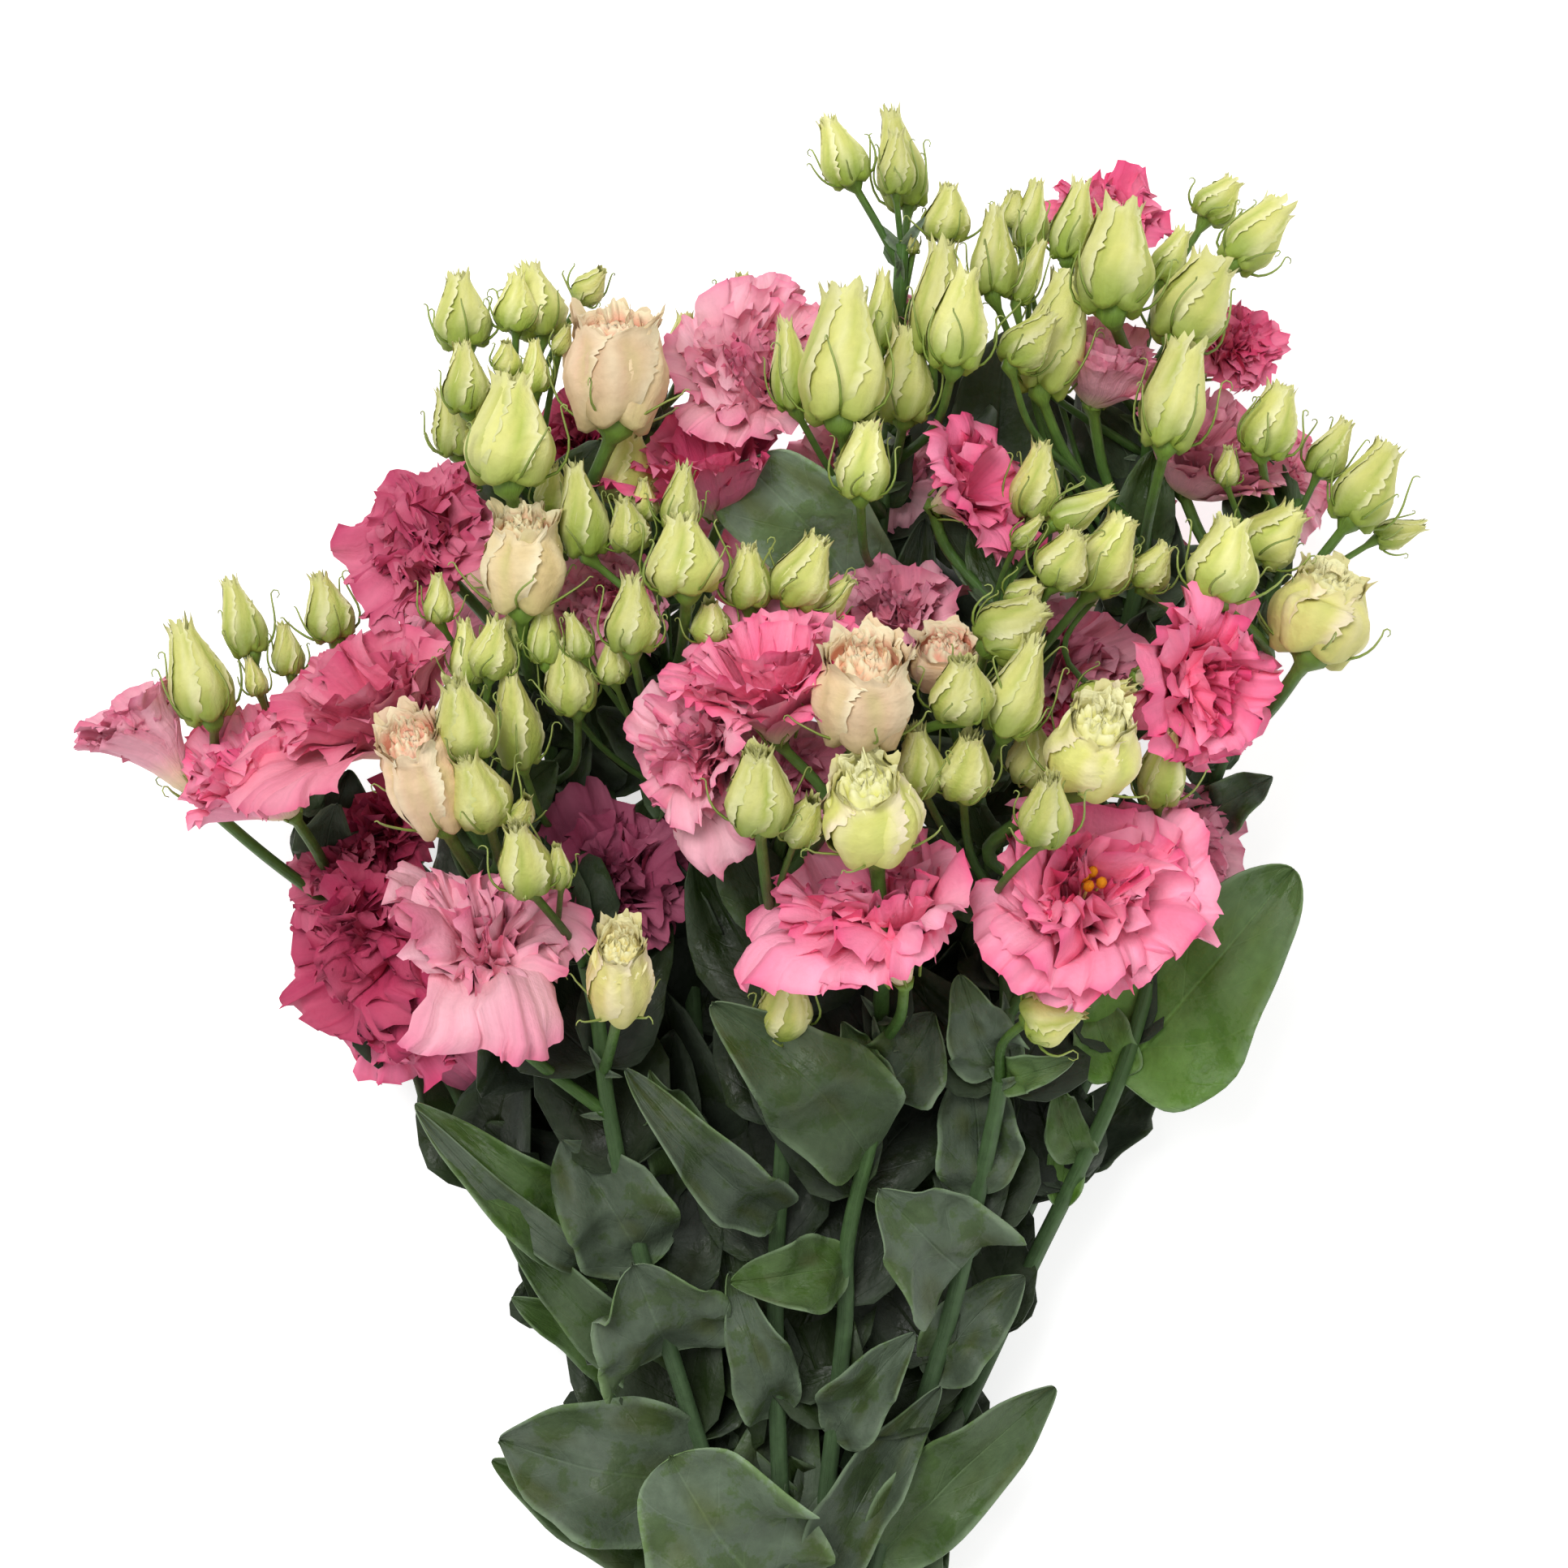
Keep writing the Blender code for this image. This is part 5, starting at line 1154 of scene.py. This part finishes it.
def stem_piece(axis, heads, rng):
    """The stem itself with its pedicels, each widening into the foot of what it carries."""
    piece = Piece()
    path = np.array(axis[:2] + smooth_path(axis[2:], 9))
    along = np.linspace(0, 1, len(path))
    radii = STEM_RADIUS + (STEM_TOP_RADIUS - STEM_RADIUS) * along
    tube(piece, path, radii, 12, mix(STEM_LOW, STEM_HIGH, along ** 2), ridge=0.05)
    for head in heads:
        blooming = head.kind == "bloom"
        end = head.base + head.axis * head.length * (0.04 if blooming else 1.7 * CUP)
        path = np.vstack([pedicel_line(head), end])
        share = np.linspace(0, 1, len(path))
        slim = 1.15 if blooming else np.clip(head.half / (8 * MM), 0.62, 1.4)
        radii = PEDICEL_RADIUS * slim * (1.2 - 0.2 * ease(0, 0.3, share))
        foot = CALYX_RADIUS if blooming else 0.5 * head.half
        radii = np.maximum(radii, foot * ease(0.74, 1.0, share) ** 1.5)
        tone = mix(STEM_HIGH, LIME_BASE, 0.6 * share ** 4) * rng.uniform(0.85, 1.1)
        tube(piece, path, radii, 8, tone, ridge=0.04)
        sepals(piece, head, rng)
        bracts(piece, head, rng)
    return piece


def tie():
    """The tie: a smooth strip pulled round all the stems."""
    slots = [np.insert(slot(row, column), 1, 0) for row, column, _ in STEMS.values()]
    section = ((0, -0.9), (0, 0.9), (0.5, 1), (1, 0.9), (1, -0.9), (0.5, -1), (0, -0.9))
    loops = []
    for out, along in section:
        loop = []
        for angle in np.arange(90) / 90 * math.tau:
            normal = np.array((math.cos(angle), 0, math.sin(angle)))
            outermost = max(slots, key=lambda middle: middle @ normal)
            reach = STEM_RADIUS + GAP + BAND_THICKNESS * out
            loop.append(TIE_MIDDLE + outermost + normal * reach + np.array((0, along * BAND_WIDTH / 2, 0)))
        loops.append(loop)
    piece = Piece()
    piece.sheet(np.array(loops), BAND_TONE, closed=True)
    piece.build("band", BAND_FINISH, "tie", ["tie_band"])


def leaves_piece(name, axis, rng):
    piece = Piece()
    for root_v, tip_u, tip_v, width, depth, *form in LEAVES.get(name, ()):
        root, _ = point_at_row(axis, root_v)
        cup, bend = form or USUAL_FORM
        # Painted shade: leaves whose tip lies deep in the bunch are darkened
        usual = {"painted_light_and_shade": DEEP_LEAF_PAINTED_SHADE if depth > SHADED_FROM else 1.0}
        traits = LEAF_TRAITS.get((name, root_v), usual)
        leaf(piece, root, at(tip_u, tip_v, depth), width * PIXEL, cup, bend, rng, LEAF_STEPS, **traits)
    leaf_pairs(piece, axis, rng)
    return piece


def build_stem(name, axis, heads):
    """The pieces of one leafy stem: stem and pedicels, leaves, closed buds."""
    rng = random.Random(f"{SEED} {name}")
    stem_piece(axis, heads, rng).build(f"stem_{name}", STEM_FINISH, "foliage", [f"leafy_stem_{name}"])
    leaves_piece(name, axis, rng).build(f"leaves_{name}", LEAF_FINISH, "foliage", thickness=LEAF_THICKNESS)
    closed = Piece()
    for head in heads:
        if head.kind == "bud":
            bud(closed, head, rng)
    if closed.count:
        closed.build(f"buds_{name}", BUD_FINISH, "cream_petal")


def build_bunch():
    axes = {name: stem_axis(name) for name in STEMS}
    buds = closed_buds(BUDS, False)
    opening = [bud_head("opening_bud", *row, blush=blush) for *row, blush in OPENING_BUDS]
    blooms = [bloom_head(*row) for row in BLOOMS]
    deep, small = [bloom_head(*row) for row in DEEP_BLOOMS], closed_buds(SMALL_BUDS, True)
    route_pedicels(axes, buds + opening + blooms, deep + small)
    for head in opening:
        head.base = head.base + (0, 0, LIFTED.get(head.name, 0) * MM)
    for name, axis in axes.items():
        build_stem(name, axis, [head for head in buds + opening + blooms + deep + small if head.stem == name])
    for head in opening + blooms + deep:
        rng = random.Random(f"{SEED} {head.kind} {head.name}")
        piece = Piece()
        nodes = [] if head in deep else [f"{head.kind}_{head.name}"]
        if head in opening:
            opening_bud(piece, head, rng)
            piece.build(f"half_open_{head.name}", BUD_FINISH, "cream_petal", nodes)
        else:
            bloom(piece, head, rng)
            piece.build(f"flower_{head.name}", PETAL_FINISH, "pink_petal", nodes)


# Surroundings: half the floor's width, its tone and glow, and the light from all round
FLOOR_HALF = 6.0
FLOOR_TONE = (0.75, 0.75, 0.75, 1)
WHITE = (1, 1, 1, 1)
FLOOR_GLOW = 0.62
WORLD_LIGHT = 0.48


def floor():
    mesh = bpy.data.meshes.new("floor")
    corners = [(x * FLOOR_HALF, y * FLOOR_HALF, 0) for x, y in ((-1, -1), (1, -1), (1, 1), (-1, 1))]
    mesh.from_pydata(corners, [], [(0, 1, 2, 3)])
    glow = {"Emission Color": WHITE, "Emission Strength": FLOOR_GLOW}
    mesh.materials.append(Material("floor", {"Base Color": FLOOR_TONE, "Roughness": 0.9, **glow}).data)
    placed("floor", mesh)


def sun(name, direction, strength, spread):
    lamp = bpy.data.lights.new(name, "SUN")
    lamp.energy = strength
    lamp.angle = math.radians(spread)
    placed(name, lamp).rotation_euler = Vector(direction).to_track_quat("Z", "Y").to_euler()


def studio():
    world = bpy.data.worlds.new("studio")
    world.use_nodes = True
    world.node_tree.nodes["Background"].inputs["Color"].default_value = WHITE
    world.node_tree.nodes["Background"].inputs["Strength"].default_value = WORLD_LIGHT
    bpy.context.scene.world = world
    sun("key", (-0.3, 0.36, 1.0), 2.0, 30)
    sun("fill", (0.6, 0.1, 1.0), 0.45, 70)
    bpy.context.scene.view_settings.view_transform = "Standard"


def camera():
    data = bpy.data.cameras.new("camera")
    data.lens = SENSOR * (VIEW_HEIGHT - REFERENCE_HEIGHT) / (PICTURE * PIXEL)
    data.sensor_width = SENSOR
    item = placed("camera", data)
    item.location = (SHIFT[0], SHIFT[1], VIEW_HEIGHT)
    bpy.context.scene.camera = item


build_bunch()
tie()
floor()
studio()
camera()
